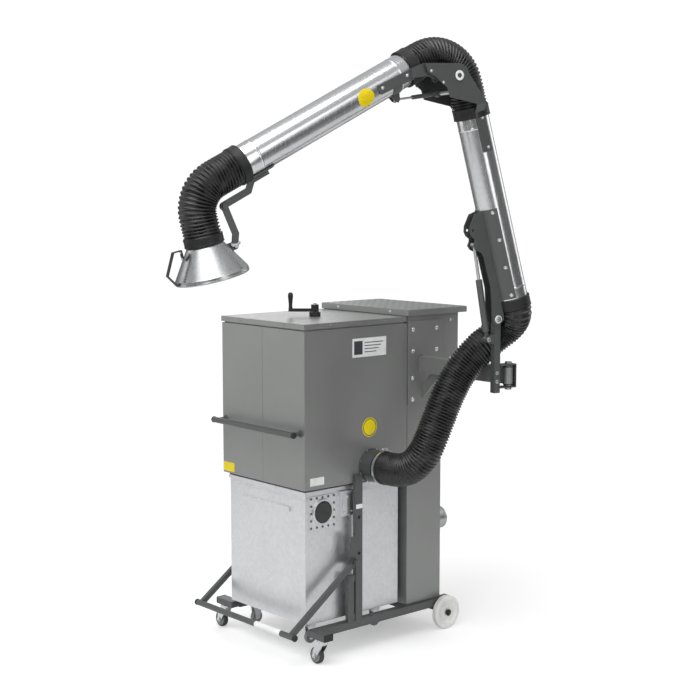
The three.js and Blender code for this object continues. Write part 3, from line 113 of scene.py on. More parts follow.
ARM_SIDE = Vector(JOINTS["shoulder"]["axis"])
ARM_FORWARD = ARM_SIDE.cross(Vector((0, 0, 1)))
SWIVEL = joint_point("arm_swivel")
ARM = Place((SWIVEL.x, SWIVEL.y, 0), ARM_FORWARD, ARM_SIDE)

LUG = (-117.6, 95.4)  # hood's pivot, from the middle of its rim
LEAN = 15.66  # lower arm, degrees forward from upright
FOLD = 28.0  # upper arm, degrees below level
TILT = 14.0  # hood, degrees forward from upright


def arm_xz(name):
    offset = joint_point(name) - ARM.origin
    return offset.dot(ARM_FORWARD) / MM, offset.z / MM


SHOULDER = arm_xz("shoulder")
ELBOW = arm_xz("elbow")
LOWER = ARM.turned(*SHOULDER, LEAN)
UPPER = ARM.turned(*ELBOW, FOLD)
HOOD = ARM.turned(*arm_xz("hood_tilt"), TILT)
HOOD.origin = HOOD.at(-LUG[0], 0, -LUG[1])

TUBE = 70  # outside radius of both arm tubes
TUBE_WALL = 2
LOWER_AXIS = -107.5  # the lower tube's middle line, along X of LOWER
UPPER_AXIS = 116  # the upper tube's middle line, along Z of UPPER
HOSE = 75  # outside radius of the hoses

# ------------------------------------------------------------------ node groups
def new_group(name, inputs, outputs):
    group = bpy.data.node_groups.new(name, "ShaderNodeTree")
    for label, kind, default in inputs:
        socket = group.interface.new_socket(name=label, in_out="INPUT", socket_type=kind)
        if default is not None:
            socket.default_value = default
    for label, kind in outputs:
        group.interface.new_socket(name=label, in_out="OUTPUT", socket_type=kind)
    source = group.nodes.new("NodeGroupInput")
    sink = group.nodes.new("NodeGroupOutput")
    return group, source, sink


def math_node(tree, operation, a, b=0.5, clamp=False):
    node = tree.nodes.new("ShaderNodeMath")
    node.operation = operation
    node.use_clamp = clamp
    for socket, value in zip(node.inputs, (a, b)):
        if isinstance(value, bpy.types.NodeSocket):
            tree.links.new(value, socket)
        else:
            socket.default_value = value
    return node.outputs[0]


def noise_node(tree, vector, scale, detail=3.0, roughness=0.55):
    node = tree.nodes.new("ShaderNodeTexNoise")
    tree.links.new(vector, node.inputs["Vector"])
    if isinstance(scale, bpy.types.NodeSocket):
        tree.links.new(scale, node.inputs["Scale"])
    else:
        node.inputs["Scale"].default_value = scale
    node.inputs["Detail"].default_value = detail
    node.inputs["Roughness"].default_value = roughness
    return node.outputs["Fac"]


def remap(tree, value, low, high, to_low=0.0, to_high=1.0):
    node = tree.nodes.new("ShaderNodeMapRange")
    tree.links.new(value, node.inputs["Value"])
    for label, number in (("From Min", low), ("From Max", high), ("To Min", to_low), ("To Max", to_high)):
        node.inputs[label].default_value = number
    return node.outputs["Result"]


def weathering_group():
    """Soft blotches and settled dust: Tone for colour, Rough for roughness."""
    group, source, sink = new_group(
        "Weathering",
        [("Vector", "NodeSocketVector", None), ("Scale", "NodeSocketFloat", 6.0)],
        [("Tone", "NodeSocketFloat"), ("Rough", "NodeSocketFloat")],
    )
    broad = noise_node(group, source.outputs["Vector"], source.outputs["Scale"], 4.0)
    fine_scale = math_node(group, "MULTIPLY", source.outputs["Scale"], 14.0)
    fine = noise_node(group, source.outputs["Vector"], fine_scale, 2.0)
    tone = math_node(group, "ADD", broad, math_node(group, "MULTIPLY", fine, 0.25))
    group.links.new(remap(group, tone, 0.35, 0.9), sink.inputs["Tone"])
    group.links.new(remap(group, fine, 0.3, 0.7), sink.inputs["Rough"])
    return group


def peel_group():
    """The shallow ripple of sprayed powder coat, as a height."""
    group, source, sink = new_group(
        "Orange Peel",
        [("Vector", "NodeSocketVector", None), ("Scale", "NodeSocketFloat", 420.0)],
        [("Height", "NodeSocketFloat")],
    )
    height = noise_node(group, source.outputs["Vector"], source.outputs["Scale"], 1.5, 0.4)
    group.links.new(height, sink.inputs["Height"])
    return group


def streak_group():
    """Long fine lines left by rolling or drawing, along the Z of the vector it is given."""
    group, source, sink = new_group(
        "Rolling Streaks",
        [("Vector", "NodeSocketVector", None), ("Fineness", "NodeSocketFloat", 260.0)],
        [("Line", "NodeSocketFloat")],
    )
    squeeze = group.nodes.new("ShaderNodeVectorMath")
    squeeze.operation = "MULTIPLY"
    group.links.new(source.outputs["Vector"], squeeze.inputs[0])
    squeeze.inputs[1].default_value = (1.0, 1.0, 0.02)
    line = noise_node(group, squeeze.outputs[0], source.outputs["Fineness"], 3.0)
    group.links.new(remap(group, line, 0.3, 0.7), sink.inputs["Line"])
    return group


GROUPS = {}


def group_node(tree, name, vector, **values):
    if name not in GROUPS:
        GROUPS[name] = {"Weathering": weathering_group, "Orange Peel": peel_group,
                        "Rolling Streaks": streak_group}[name]()
    node = tree.nodes.new("ShaderNodeGroup")
    node.node_tree = GROUPS[name]
    tree.links.new(vector, node.inputs["Vector"])
    for label, value in values.items():
        node.inputs[label.replace("_", " ")].default_value = value
    return node


# ------------------------------------------------------------------ materials
class Finish:
    """A new material with its Principled shader and object-space coordinates at hand."""

    def __init__(self, name, **settings):
        self.material = bpy.data.materials.new(name)
        self.material.use_nodes = True
        self.tree = self.material.node_tree
        self.shader = self.tree.nodes["Principled BSDF"]
        self.coords = self.tree.nodes.new("ShaderNodeTexCoord").outputs["Object"]
        for label, value in settings.items():
            self.shader.inputs[label.replace("_", " ")].default_value = value

    def colours(self, fac, low, high):
        mix = self.tree.nodes.new("ShaderNodeMix")
        mix.data_type = "RGBA"
        ends = {socket.identifier: socket for socket in mix.inputs}
        result = next(socket for socket in mix.outputs if socket.identifier == "Result_Color")
        self.tree.links.new(fac, ends["Factor_Float"])
        ends["A_Color"].default_value = (*low, 1)
        ends["B_Color"].default_value = (*high, 1)
        self.tree.links.new(result, self.shader.inputs["Base Color"])

    def roughness(self, fac, low, high):
        self.tree.links.new(remap(self.tree, fac, 0, 1, low, high), self.shader.inputs["Roughness"])

    def bump(self, height, distance, strength=0.5):
        node = self.tree.nodes.new("ShaderNodeBump")
        node.inputs["Distance"].default_value = distance
        node.inputs["Strength"].default_value = strength
        self.tree.links.new(height, node.inputs["Height"])
        self.tree.links.new(node.outputs["Normal"], self.shader.inputs["Normal"])


def scaled(colour, factor):
    return tuple(min(1.0, channel * factor) for channel in colour)


def paint(name, colour, gloss=0.36, peel=0.00012):
    """Powder coat: even colour, faint blotches, a fine ripple."""
    finish = Finish(name, Metallic=0.45, Specular_IOR_Level=0.5, Coat_Weight=0.1, Coat_Roughness=0.3)
    wear = group_node(finish.tree, "Weathering", finish.coords, Scale=4.0)
    finish.colours(wear.outputs["Tone"], scaled(colour, 0.94), scaled(colour, 1.05))
    finish.roughness(wear.outputs["Rough"], gloss - 0.04, gloss + 0.06)
    ripple = group_node(finish.tree, "Orange Peel", finish.coords, Scale=460.0)
    finish.bump(ripple.outputs["Height"], peel, 0.6)
    return finish.material


def rolled_metal(name, colour, rough, fineness, contrast=0.08, bump=0.00004):
    """Bright sheet or tube with long rolling lines."""
    finish = Finish(name, Metallic=1.0)
    lines = group_node(finish.tree, "Rolling Streaks", finish.coords, Fineness=fineness)
    wear = group_node(finish.tree, "Weathering", finish.coords, Scale=3.0)
    finish.colours(wear.outputs["Tone"], scaled(colour, 1 - contrast), scaled(colour, 1 + contrast / 2))
    finish.roughness(lines.outputs["Line"], rough - 0.05, rough + 0.08)
    finish.bump(lines.outputs["Line"], bump, 0.35)
    return finish.material


def galvanised(name, colour):
    """Zinc-coated sheet with its crystal spangle."""
    finish = Finish(name, Metallic=0.92)
    cells = finish.tree.nodes.new("ShaderNodeTexVoronoi")
    cells.inputs["Scale"].default_value = 75.0
    cells.inputs["Randomness"].default_value = 1.0
    finish.tree.links.new(finish.coords, cells.inputs["Vector"])
    split = finish.tree.nodes.new("ShaderNodeSeparateColor")
    finish.tree.links.new(cells.outputs["Color"], split.inputs["Color"])
    wear = group_node(finish.tree, "Weathering", finish.coords, Scale=5.0)
    mixed = math_node(finish.tree, "ADD", math_node(finish.tree, "MULTIPLY", split.outputs["Red"], 0.45),
                      math_node(finish.tree, "MULTIPLY", wear.outputs["Tone"], 0.5))
    finish.colours(mixed, scaled(colour, 0.9), scaled(colour, 1.05))
    finish.roughness(split.outputs["Green"], 0.3, 0.44)
    finish.bump(split.outputs["Blue"], 0.00004, 0.3)
    return finish.material


def plastic(name, colour, rough=0.5, grain=0.0001, scale=900.0):
    finish = Finish(name, Specular_IOR_Level=0.45)
    wear = group_node(finish.tree, "Weathering", finish.coords, Scale=9.0)
    finish.colours(wear.outputs["Tone"], scaled(colour, 0.85), scaled(colour, 1.2))
    finish.roughness(wear.outputs["Rough"], rough - 0.06, rough + 0.08)
    ripple = group_node(finish.tree, "Orange Peel", finish.coords, Scale=scale)
    finish.bump(ripple.outputs["Height"], grain, 0.5)
    return finish.material


def hose_cloth(name, colour):
    """Coated glass cloth: a fine weave over dark rubber, a little dusty in soft blotches."""
    finish = Finish(name, Specular_IOR_Level=0.5, Coat_Weight=0.25, Coat_Roughness=0.22)
    wear = group_node(finish.tree, "Weathering", finish.coords, Scale=16.0)
    finish.colours(wear.outputs["Tone"], scaled(colour, 0.7), scaled(colour, 1.5))
    finish.roughness(wear.outputs["Rough"], 0.24, 0.38)
    weave = finish.tree.nodes.new("ShaderNodeTexWave")
    weave.inputs["Scale"].default_value = 700.0
    weave.inputs["Distortion"].default_value = 1.2
    finish.tree.links.new(finish.coords, weave.inputs["Vector"])
    finish.bump(weave.outputs["Fac"], 0.00015, 0.4)
    return finish.material


def glass(name):
    finish = Finish(name, Roughness=0.06, Transmission_Weight=0.35, IOR=1.5)
    wear = group_node(finish.tree, "Weathering", finish.coords, Scale=20.0)
    finish.colours(wear.outputs["Tone"], (0.02, 0.022, 0.022), (0.05, 0.052, 0.05))
    return finish.material


MATERIALS = {}


def material(name):
    """The shared material of that name, made on first use."""
    colours = bpy.context.scene.extractor_colours
    if name not in MATERIALS:
        makers = {
            "grey_paint": lambda: paint("grey_paint", tuple(colours.body)),
            "dark_paint": lambda: paint("dark_paint", tuple(colours.steel), 0.42),
            "aluminium_sheet": lambda: rolled_metal("aluminium_sheet", tuple(colours.tube), 0.2, 240.0),
            "spun_aluminium": lambda: rolled_metal("spun_aluminium", scaled(colours.tube, 0.72), 0.3, 120.0),
            "galvanised_sheet": lambda: galvanised("galvanised_sheet", tuple(colours.bin)),
            "zinc_plate": lambda: rolled_metal("zinc_plate", (0.74, 0.75, 0.77), 0.27, 300.0),
            "tread_sheet": lambda: rolled_metal("tread_sheet", (0.42, 0.43, 0.43), 0.42, 160.0),
            "black_plastic": lambda: plastic("black_plastic", (0.018, 0.018, 0.019)),
            "hose_fabric": lambda: hose_cloth("hose_fabric", tuple(colours.hose)),
            "cuff_rubber": lambda: plastic("cuff_rubber", (0.012, 0.012, 0.013), 0.48, 0.0002, 500.0),
            "grey_rubber": lambda: plastic("grey_rubber", (0.05, 0.05, 0.052), 0.62),
            "roller_grey": lambda: plastic("roller_grey", (0.24, 0.25, 0.25), 0.5),
            "white_nylon": lambda: plastic("white_nylon", (0.82, 0.82, 0.8), 0.4),
            "white_film": lambda: plastic("white_film", (0.86, 0.87, 0.87), 0.3, 0.00003),
            "yellow_film": lambda: plastic("yellow_film", tuple(colours.accent), 0.34, 0.00003),
            "dark_film": lambda: plastic("dark_film", (0.05, 0.052, 0.055), 0.4, 0.00003),
            "window_glass": lambda: glass("window_glass"),
            "pleated_felt": lambda: plastic("pleated_felt", (0.74, 0.71, 0.62), 0.9, 0.0006, 300.0),
        }
        MATERIALS[name] = makers[name]()
    return MATERIALS[name]


# ------------------------------------------------------------------ mesh building
SHARP_ANGLE = 35.0  # edges over this many degrees stay crisp
BEVEL_ANGLE = 32.0  # edges over this many degrees are rounded


def piece(name, points, faces, finish, body, sharp=SHARP_ANGLE):
    """A mesh object from points in metres that rides on a body."""
    mesh = bpy.data.meshes.new(name)
    mesh.from_pydata([tuple(point) for point in points], [], [tuple(face) for face in faces])
    mesh.validate()
    obj = bpy.data.objects.new(name, mesh)
    bpy.context.scene.collection.objects.link(obj)
    mesh.shade_smooth()
    mesh.set_sharp_from_angle(angle=math.radians(sharp))
    mesh.materials.append(material(finish))
    if body:
        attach(obj, body)
    return obj


def round_edges(obj, width, segments=3):
    modifier = obj.modifiers.new("rounded edges", "BEVEL")
    modifier.width = width * MM
    modifier.segments = segments
    modifier.limit_method = "ANGLE"
    modifier.angle_limit = math.radians(BEVEL_ANGLE)
    modifier.harden_normals = True


def lathe(profile, segments=64, closed=True):
    """Points and faces of a profile of (radius, height) turned about Z."""
    count = len(profile)
    angles = np.linspace(0, 2 * math.pi, segments, endpoint=False)
    points = [(r * math.cos(a), r * math.sin(a), z) for a in angles for r, z in profile]
    faces = []
    last = count if closed else count - 1
    for i in range(segments):
        j = (i + 1) % segments
        for k in range(last):
            n = (k + 1) % count
            faces.append((i * count + k, j * count + k, j * count + n, i * count + n))
    return points, faces


def turned_piece(name, profile, place, base, direction, finish, body, segments=64, closed=True):
    points, faces = lathe(profile, segments, closed)
    local = place.along(base, direction)
    obj = piece(name, local.many(points), faces, finish, body)
    weld_poles(obj)
    return obj


def weld_poles(obj):
    """Joins the points of a turned shape that meet on its axis, and turns its faces outwards."""
    work = bmesh.new()
    work.from_mesh(obj.data)
    bmesh.ops.remove_doubles(work, verts=work.verts, dist=1e-6)
    bmesh.ops.recalc_face_normals(work, faces=work.faces)
    work.to_mesh(obj.data)
    work.free()
    obj.data.set_sharp_from_angle(angle=math.radians(SHARP_ANGLE))


def rounded(profile, radius=1.0, steps=3):
    """A closed profile with each corner replaced by a small arc."""
    result = []
    count = len(profile)
    for i, corner in enumerate(profile):
        here = Vector(corner)
        before = Vector(profile[i - 1]) - here
        after = Vector(profile[(i + 1) % count]) - here
        reach = min(radius, before.length * 0.45, after.length * 0.45)
        if here.x < 1e-6 or reach < 1e-4:
            result.append(corner)
            continue
        start = here + before.normalized() * reach
        end = here + after.normalized() * reach
        for step in range(steps + 1):
            t = step / steps
            point = start * (1 - t) ** 2 + here * 2 * t * (1 - t) + end * t * t
            result.append((point.x, point.y))
    return result


def prism(outline, low, high, axis="y"):
    """An outline in XZ (axis y), YZ (axis x) or XY (axis z), from low to high."""
    order = {
        "y": lambda a, b, d: (a, d, b),
        "x": lambda a, b, d: (d, a, b),
        "z": lambda a, b, d: (a, b, d),
    }[axis]
    count = len(outline)
    points = [order(a, b, d) for d in (low, high) for a, b in outline]
    faces = [tuple(range(count))[::-1], tuple(range(count, 2 * count))]
    faces += [(i, (i + 1) % count, (i + 1) % count + count, i + count) for i in range(count)]
    return points, faces


def prism_piece(name, place, outline, low, high, finish, body, axis="y", bevel=0.8):
    points, faces = prism(outline, low, high, axis)
    obj = piece(name, place.many(points), faces, finish, body)
    weld_poles(obj)
    round_edges(obj, bevel)
    return obj


def rectangle(a0, a1, b0, b1):
    return [(a0, b0), (a1, b0), (a1, b1), (a0, b1)]


def box_piece(name, place, x, y, z, finish, body, bevel=0.8):
    return prism_piece(name, place, rectangle(*x, *y), *z, finish, body, axis="z", bevel=bevel)


def dome_bolt(name, place, base, direction, radius, height, finish, body):
    """A cup-head bolt on its washer."""
    arc = [(radius * math.cos(a), 1.6 + height * math.sin(a)) for a in np.linspace(0.12, math.pi / 2, 7)]
    profile = [(0, 0), (radius + 3, 0), (radius + 3, 1.2), (radius, 1.6), *arc[:-1], (0, 1.6 + height)]
    return turned_piece(name, profile, place, base, direction, finish, body, 28, closed=False)


def hex_bolt(name, place, base, direction, radius, height, finish, body):
    """A hexagon head on a round washer."""
    local = place.along(base, direction)
    rim = radius * 1.35
    points, faces = lathe(rounded([(0, 0), (rim, 0), (rim, 1.5), (0, 1.5)], 0.4), 32, False)
    start = len(points)
    ring = [(radius * math.cos(a), radius * math.sin(a)) for a in np.arange(6) * math.pi / 3]
    head, head_faces = prism(ring, 1.4, 1.4 + height, "z")
    points += head
    faces += [tuple(i + start for i in face) for face in head_faces]
    obj = piece(name, local.many(points), faces, finish, body)
    weld_poles(obj)
    round_edges(obj, 0.5, 2)
    return obj


def rivet(name, place, base, direction, body):
    """The common zinc-plated rivet."""
    return dome_bolt(name, place, base, direction, 5, 3, "zinc_plate", body)


def tube_piece(name, place, base, direction, length, body):
    """A thin aluminium tube with a faint rolled seam bead near each end."""
    bore, bead = TUBE - TUBE_WALL, TUBE + 0.8
    profile = [
        (bore, 0), (TUBE, 0), (TUBE, 70), (bead, 73), (bead, 76), (TUBE, 79), (TUBE, length - 79),
        (bead, length - 76), (bead, length - 73), (TUBE, length - 70), (TUBE, length), (bore, length),
    ]
    return turned_piece(name, rounded(profile, 0.8), place, base, direction, "aluminium_sheet", body, 112)


def washer(name, place, base, direction, outer, inner, thick, body, finish="white_nylon"):
    profile = rounded([(inner, 0), (outer, 0), (outer, thick), (inner, thick)], 0.7)
    return turned_piece(name, profile, place, base, direction, finish, body, 48)


def dress(node, finish, bevel):
    """Keeps a CAD node's own shape: rounds its edges and gives it a finish."""
    obj = frame["nodes"][node]
    normals = obj.data.attributes.get("custom_normal")
    if normals:
        obj.data.attributes.remove(normals)
    obj.data.materials.clear()
    obj.data.materials.append(material(finish))
    obj.data.shade_smooth()
    weld = obj.modifiers.new("weld", "WELD")
    weld.merge_threshold = 1e-5
    flat = obj.modifiers.new("flat faces", "DECIMATE")
    flat.decimate_type = "DISSOLVE"
    flat.angle_limit = math.radians(1.0)
    if bevel:
        round_edges(obj, bevel)
    else:
        split = obj.modifiers.new("crisp edges", "EDGE_SPLIT")
        split.split_angle = math.radians(SHARP_ANGLE)


def dress_all(finish, bevel, *nodes):
    for node in nodes:
        dress(node, finish, bevel)


# ------------------------------------------------------------------ hoses
def centripetal(points, count):
    """Evenly spaced samples of the centripetal spline through a list of points."""
    p = [np.array(point, float) for point in points]
    p = [2 * p[0] - p[1], *p, 2 * p[-1] - p[-2]]
    dense = []
    for i in range(1, len(p) - 2):
        p0, p1, p2, p3 = p[i - 1:i + 3]
        t0 = 0.0
        t1 = t0 + np.linalg.norm(p1 - p0) ** 0.5
        t2 = t1 + np.linalg.norm(p2 - p1) ** 0.5
        t3 = t2 + np.linalg.norm(p3 - p2) ** 0.5
        for t in np.linspace(t1, t2, 40, endpoint=i == len(p) - 3):
            a1 = (t1 - t) / (t1 - t0) * p0 + (t - t0) / (t1 - t0) * p1
            a2 = (t2 - t) / (t2 - t1) * p1 + (t - t1) / (t2 - t1) * p2
            a3 = (t3 - t) / (t3 - t2) * p2 + (t - t2) / (t3 - t2) * p3
            b1 = (t2 - t) / (t2 - t0) * a1 + (t - t0) / (t2 - t0) * a2
            b2 = (t3 - t) / (t3 - t1) * a2 + (t - t1) / (t3 - t1) * a3
            dense.append((t2 - t) / (t2 - t1) * b1 + (t - t1) / (t2 - t1) * b2)
    dense = np.array(dense)
    steps = np.linalg.norm(np.diff(dense, axis=0), axis=1)
    run = np.concatenate([[0], np.cumsum(steps)])
    wanted = np.linspace(0, run[-1], count)
    return np.stack([np.interp(wanted, run, dense[:, k]) for k in range(3)], axis=1), run[-1]


def sweep(route, radii, segments):
    """Rings of points round a route; radii is one row of radii per ring."""
    tangent = np.gradient(route, axis=0)
    tangent /= np.linalg.norm(tangent, axis=1)[:, None]
    normal = np.cross(tangent[0], [0.0, 0.0, 1.0])
    if np.linalg.norm(normal) < 0.2:
        normal = np.cross(tangent[0], [0.0, 1.0, 0.0])
    normal /= np.linalg.norm(normal)
    angles = np.linspace(0, 2 * math.pi, segments, endpoint=False)
    points = np.empty((len(route), segments, 3))
    for i, (centre, forward) in enumerate(zip(route, tangent)):
        normal = normal - forward * normal.dot(forward)
        normal /= np.linalg.norm(normal)
        side = np.cross(forward, normal)
        ring = np.cos(angles)[:, None] * normal + np.sin(angles)[:, None] * side
        points[i] = centre + ring * radii[i][:, None]
    return points.reshape(-1, 3)


def ring_faces(rings, segments):
    return [
        (i * segments + j, i * segments + (j + 1) % segments, (i + 1) * segments + (j + 1) % segments,
         (i + 1) * segments + j)
        for i in range(rings - 1)
        for j in range(segments)
    ]


def ribbed_hose(route_points, share, seed):
    """A spring-wire hose in mm along its route: one helical rib with cloth sagging between turns."""
    sizes = bpy.context.scene.extractor_sizes
    pitch, depth = sizes.rib_pitch / MM, sizes.rib_depth / MM
    _, length = centripetal(route_points, 10)
    start, end = share[0] * length, share[1] * length
    rings = int((end - start) / pitch * 7)
    route, _ = centripetal(route_points, 2000)
    run = np.linspace(0, length, 2000)
    wanted = np.linspace(start, end, rings)
    route = np.stack([np.interp(wanted, run, route[:, k]) for k in range(3)], axis=1)
    segments = 72
    angle = np.linspace(0, 2 * math.pi, segments, endpoint=False)[None, :]
    place_on = wanted[:, None]
    phase = 2 * math.pi * place_on / pitch + angle
    crest = (0.5 + 0.5 * np.cos(phase)) ** 0.7
    sag = 0.5 + 0.25 * np.sin(place_on / 37 + 2 * angle + seed)
    sag += 0.25 * np.sin(place_on / 11 - 3 * angle + 2 * seed)
    crumple = 0.35 * np.sin(9 * angle + place_on / 3.1 + seed) * (1 - crest)
    radii = HOSE - 0.3 - depth * (1 - crest) * (0.75 + 0.5 * sag) + crumple
    points = sweep(route, radii, segments)
    return points, ring_faces(rings, segments)


def cuff(name, place, base, direction, length, body):
    """The smooth rubber sleeve that joins a hose to a tube, with a raised bead at each end."""
    outer, inner = HOSE + 2.2, TUBE + 0.8
    bead, lip = outer + 1.0, outer + 0.8
    profile = [
        (inner, 0), (bead, 0), (bead, 5), (outer, 7), (outer, length - 8), (lip, length - 6), (lip, length),
        (HOSE - 3, length), (HOSE - 3, length - 4), (inner, length - 6),
    ]
    return turned_piece(name, rounded(profile, 1.2), place, base, direction, "cuff_rubber", body, 72)


def bend(start, start_angle, end, end_angle, radius):
    """Points in the arm's plane: straight, one clockwise turn, straight."""
    a, b = math.radians(start_angle), math.radians(end_angle)

    def arc(angle):
        return radius * (math.sin(a) - math.sin(angle)), radius * (math.cos(angle) - math.cos(a))

    turn = arc(b)
    rest = (end[0] - start[0] - turn[0], end[1] - start[1] - turn[1])
    det = math.cos(a) * math.sin(b) - math.sin(a) * math.cos(b)
    lead = (rest[0] * math.sin(b) - rest[1] * math.cos(b)) / det
    points = [start, (start[0] + lead / 2 * math.cos(a), start[1] + lead / 2 * math.sin(a))]
    for i in range(7):
        dx, dz = arc(a + (b - a) * i / 6)
        points.append((start[0] + lead * math.cos(a) + dx, start[1] + lead * math.sin(a) + dz))
    last = points[-1]
    points += [((last[0] + end[0]) / 2, (last[1] + end[1]) / 2), end]
    return [(x, 0, z) for x, z in points]


def in_arm(place, x, z):
    """A point of an arm piece's own frame, in the arm's plane."""
    offset = place.at(x, 0, z) - ARM.origin
    return offset.dot(ARM_FORWARD) / MM, offset.z / MM


# ------------------------------------------------------------------ settings
def millimetres(name, description, value):
    return bpy.props.FloatProperty(
        name=name, description=description, default=value * MM, unit="LENGTH", subtype="DISTANCE",
        min=0.0,
    )


def colour(name, description, value):
    return bpy.props.FloatVectorProperty(
        name=name, description=description, default=value, subtype="COLOR", size=3, min=0.0, max=1.0,
    )


class ExtractorSizes(bpy.types.PropertyGroup):
    rib_pitch: millimetres("Rib pitch", "Distance between turns of the hose's wire", 13.0)
    rib_depth: millimetres("Rib depth", "How far the hose cloth sinks between turns", 7.0)
    cuff_length: millimetres("Cuff length", "Length of the rubber sleeve at a hose's end", 46.0)
    tread_pitch: millimetres("Tread pitch", "Distance between the raised bars of the cover", 22.0)


class ExtractorColours(bpy.types.PropertyGroup):
    body: colour("Body", "Powder coat of the cabinet, lid and tower", (0.29, 0.297, 0.29))
    steel: colour("Steel", "Darker coat of the chassis, levers and arm fittings", (0.11, 0.114, 0.114))
    tube: colour("Tube", "Rolled aluminium of the arm tubes and hood", (0.7, 0.71, 0.72))
    bin: colour("Bin", "Galvanised sheet of the dust bin", (0.76, 0.775, 0.79))
    hose: colour("Hose", "Coated cloth of the hoses", (0.006, 0.0062, 0.0065))
    accent: colour("Accent", "Plain coloured stickers", (0.9, 0.68, 0.0))


# ------------------------------------------------------------------ groups of pieces
# Places named here are in millimetres in the frame of BASE: X across from the cabinet's middle,
# Y back from its front face and Z up from the floor. In ARM, LOWER, UPPER and HOOD they start at
# that part's pivot or rim.
FRONT, BACK, LEFT, RIGHT, UP, DOWN = (0, -1, 0), (0, 1, 0), (-1, 0, 0), (1, 0, 0), (0, 0, 1), (0, 0, -1)
SIDES = ((-1, "left"), (1, "right"))
CABINET_SIDE = 300


def joint_spot(name):
    """Where a joint is in the frame of BASE, in millimetres."""
    return (joint_point(name) - BASE.origin) / MM


def ring_of(count, radius, start=0.0):
    """Evenly spaced (cos, sin) offsets on a circle, from a first angle in degrees."""
    for i in range(count):
        a = math.radians(360 / count * i + start)
        yield radius * math.cos(a), radius * math.sin(a)


def bar_cap(name, base, side, radius, length, body):
    """A plastic plug on the end of a round bar that runs across the machine."""
    shoulder = length - 4
    cap = [(0, -1), (radius, -1), (radius, shoulder), (11, length), (0, length)]
    turned_piece(name, rounded(cap, 2.0), BASE, base, (side, 0, 0), "black_plastic", body, 40, False)


PUSH_BAR_Y = -56
PUSH_BAR_Z = 1031
PUSH_BAR_END = 290
PUSH_BAR_FOOT = 275
LID_SCREW_Z = 1499
LID_SCREWS = (
    (-157, -3, FRONT), (162, -3, FRONT), (303, 146, RIGHT), (-303, 164, LEFT), (303, 470, RIGHT),
    (-303, 470, LEFT),
)


class BuildCabinet(bpy.types.Operator):
    """Cabinet, its two front panels, lid and push bar"""

    bl_idname = "extractor.cabinet"
    bl_label = "Cabinet"

    def execute(self, context):
        dress("cabinet_shell", "grey_paint", 1.0)
        dress_all("grey_paint", 0.8, "front_panel_left", "front_panel_right")
        dress("lid", "grey_paint", 2.0)
        dress("bin_gasket", "grey_rubber", 1.5)
        dress("push_bar", "dark_paint", 0)
        dress("filter_cartridge", "pleated_felt", 0)
        self.push_bar_ends()
        for i, (x, y, direction) in enumerate(LID_SCREWS):
            dome_bolt(f"lid_screw_{i}", BASE, (x, y, LID_SCREW_Z), direction, 4, 2.4, "grey_paint", "root")
        return {"FINISHED"}

    def push_bar_ends(self):
        for side, _ in SIDES:
            x = side * PUSH_BAR_END
            bar_cap(f"push_bar_cap_{x}", (x, PUSH_BAR_Y, PUSH_BAR_Z), side, 14.6, 10, "root")
        for side, _ in SIDES:
            x = side * PUSH_BAR_FOOT
            collar = rounded([(10.2, 0), (17, 0), (17, 3), (13, 6), (10.2, 6)], 0.8)
            turned_piece(
                f"push_bar_collar_{x}", collar, BASE, (x, -0.4, PUSH_BAR_Z), FRONT, "dark_paint", "root", 40,
            )


CONSOLE_PLATE_X = 306
CONSOLE_BOLTS = [(y, z) for y in (643, 795) for z in (1448, 1348, 1224, 1124)]
COVER_BOLT_X = (-180, 190)
COVER_FRONT = 606
COVER_BOLT_Z = 1526
MOTOR_BOX_SIDE = 292
MOTOR_BOX_BOLT_Y = 900
MOTOR_BOX_BOLT_Z = (1130, 1300, 1480)
MOTOR_BOX_BACK = 958
LOUVRE_X = (-150, 0, 150)
LOUVRE_Z = range(1150, 1460, 18)
LOUVRE_HALF = 52
TREAD_SHEET = ((-303, 310), (608, 990), (1538.9, 1540))
TREAD_EDGE = 12
TREAD_BAR = (10.5, 2.6)  # half its length and half its width
OUTLET = (150, 834.4, 490)
OUTLET_RIVET_CIRCLE = 88
OUTLET_FLANGE = 4


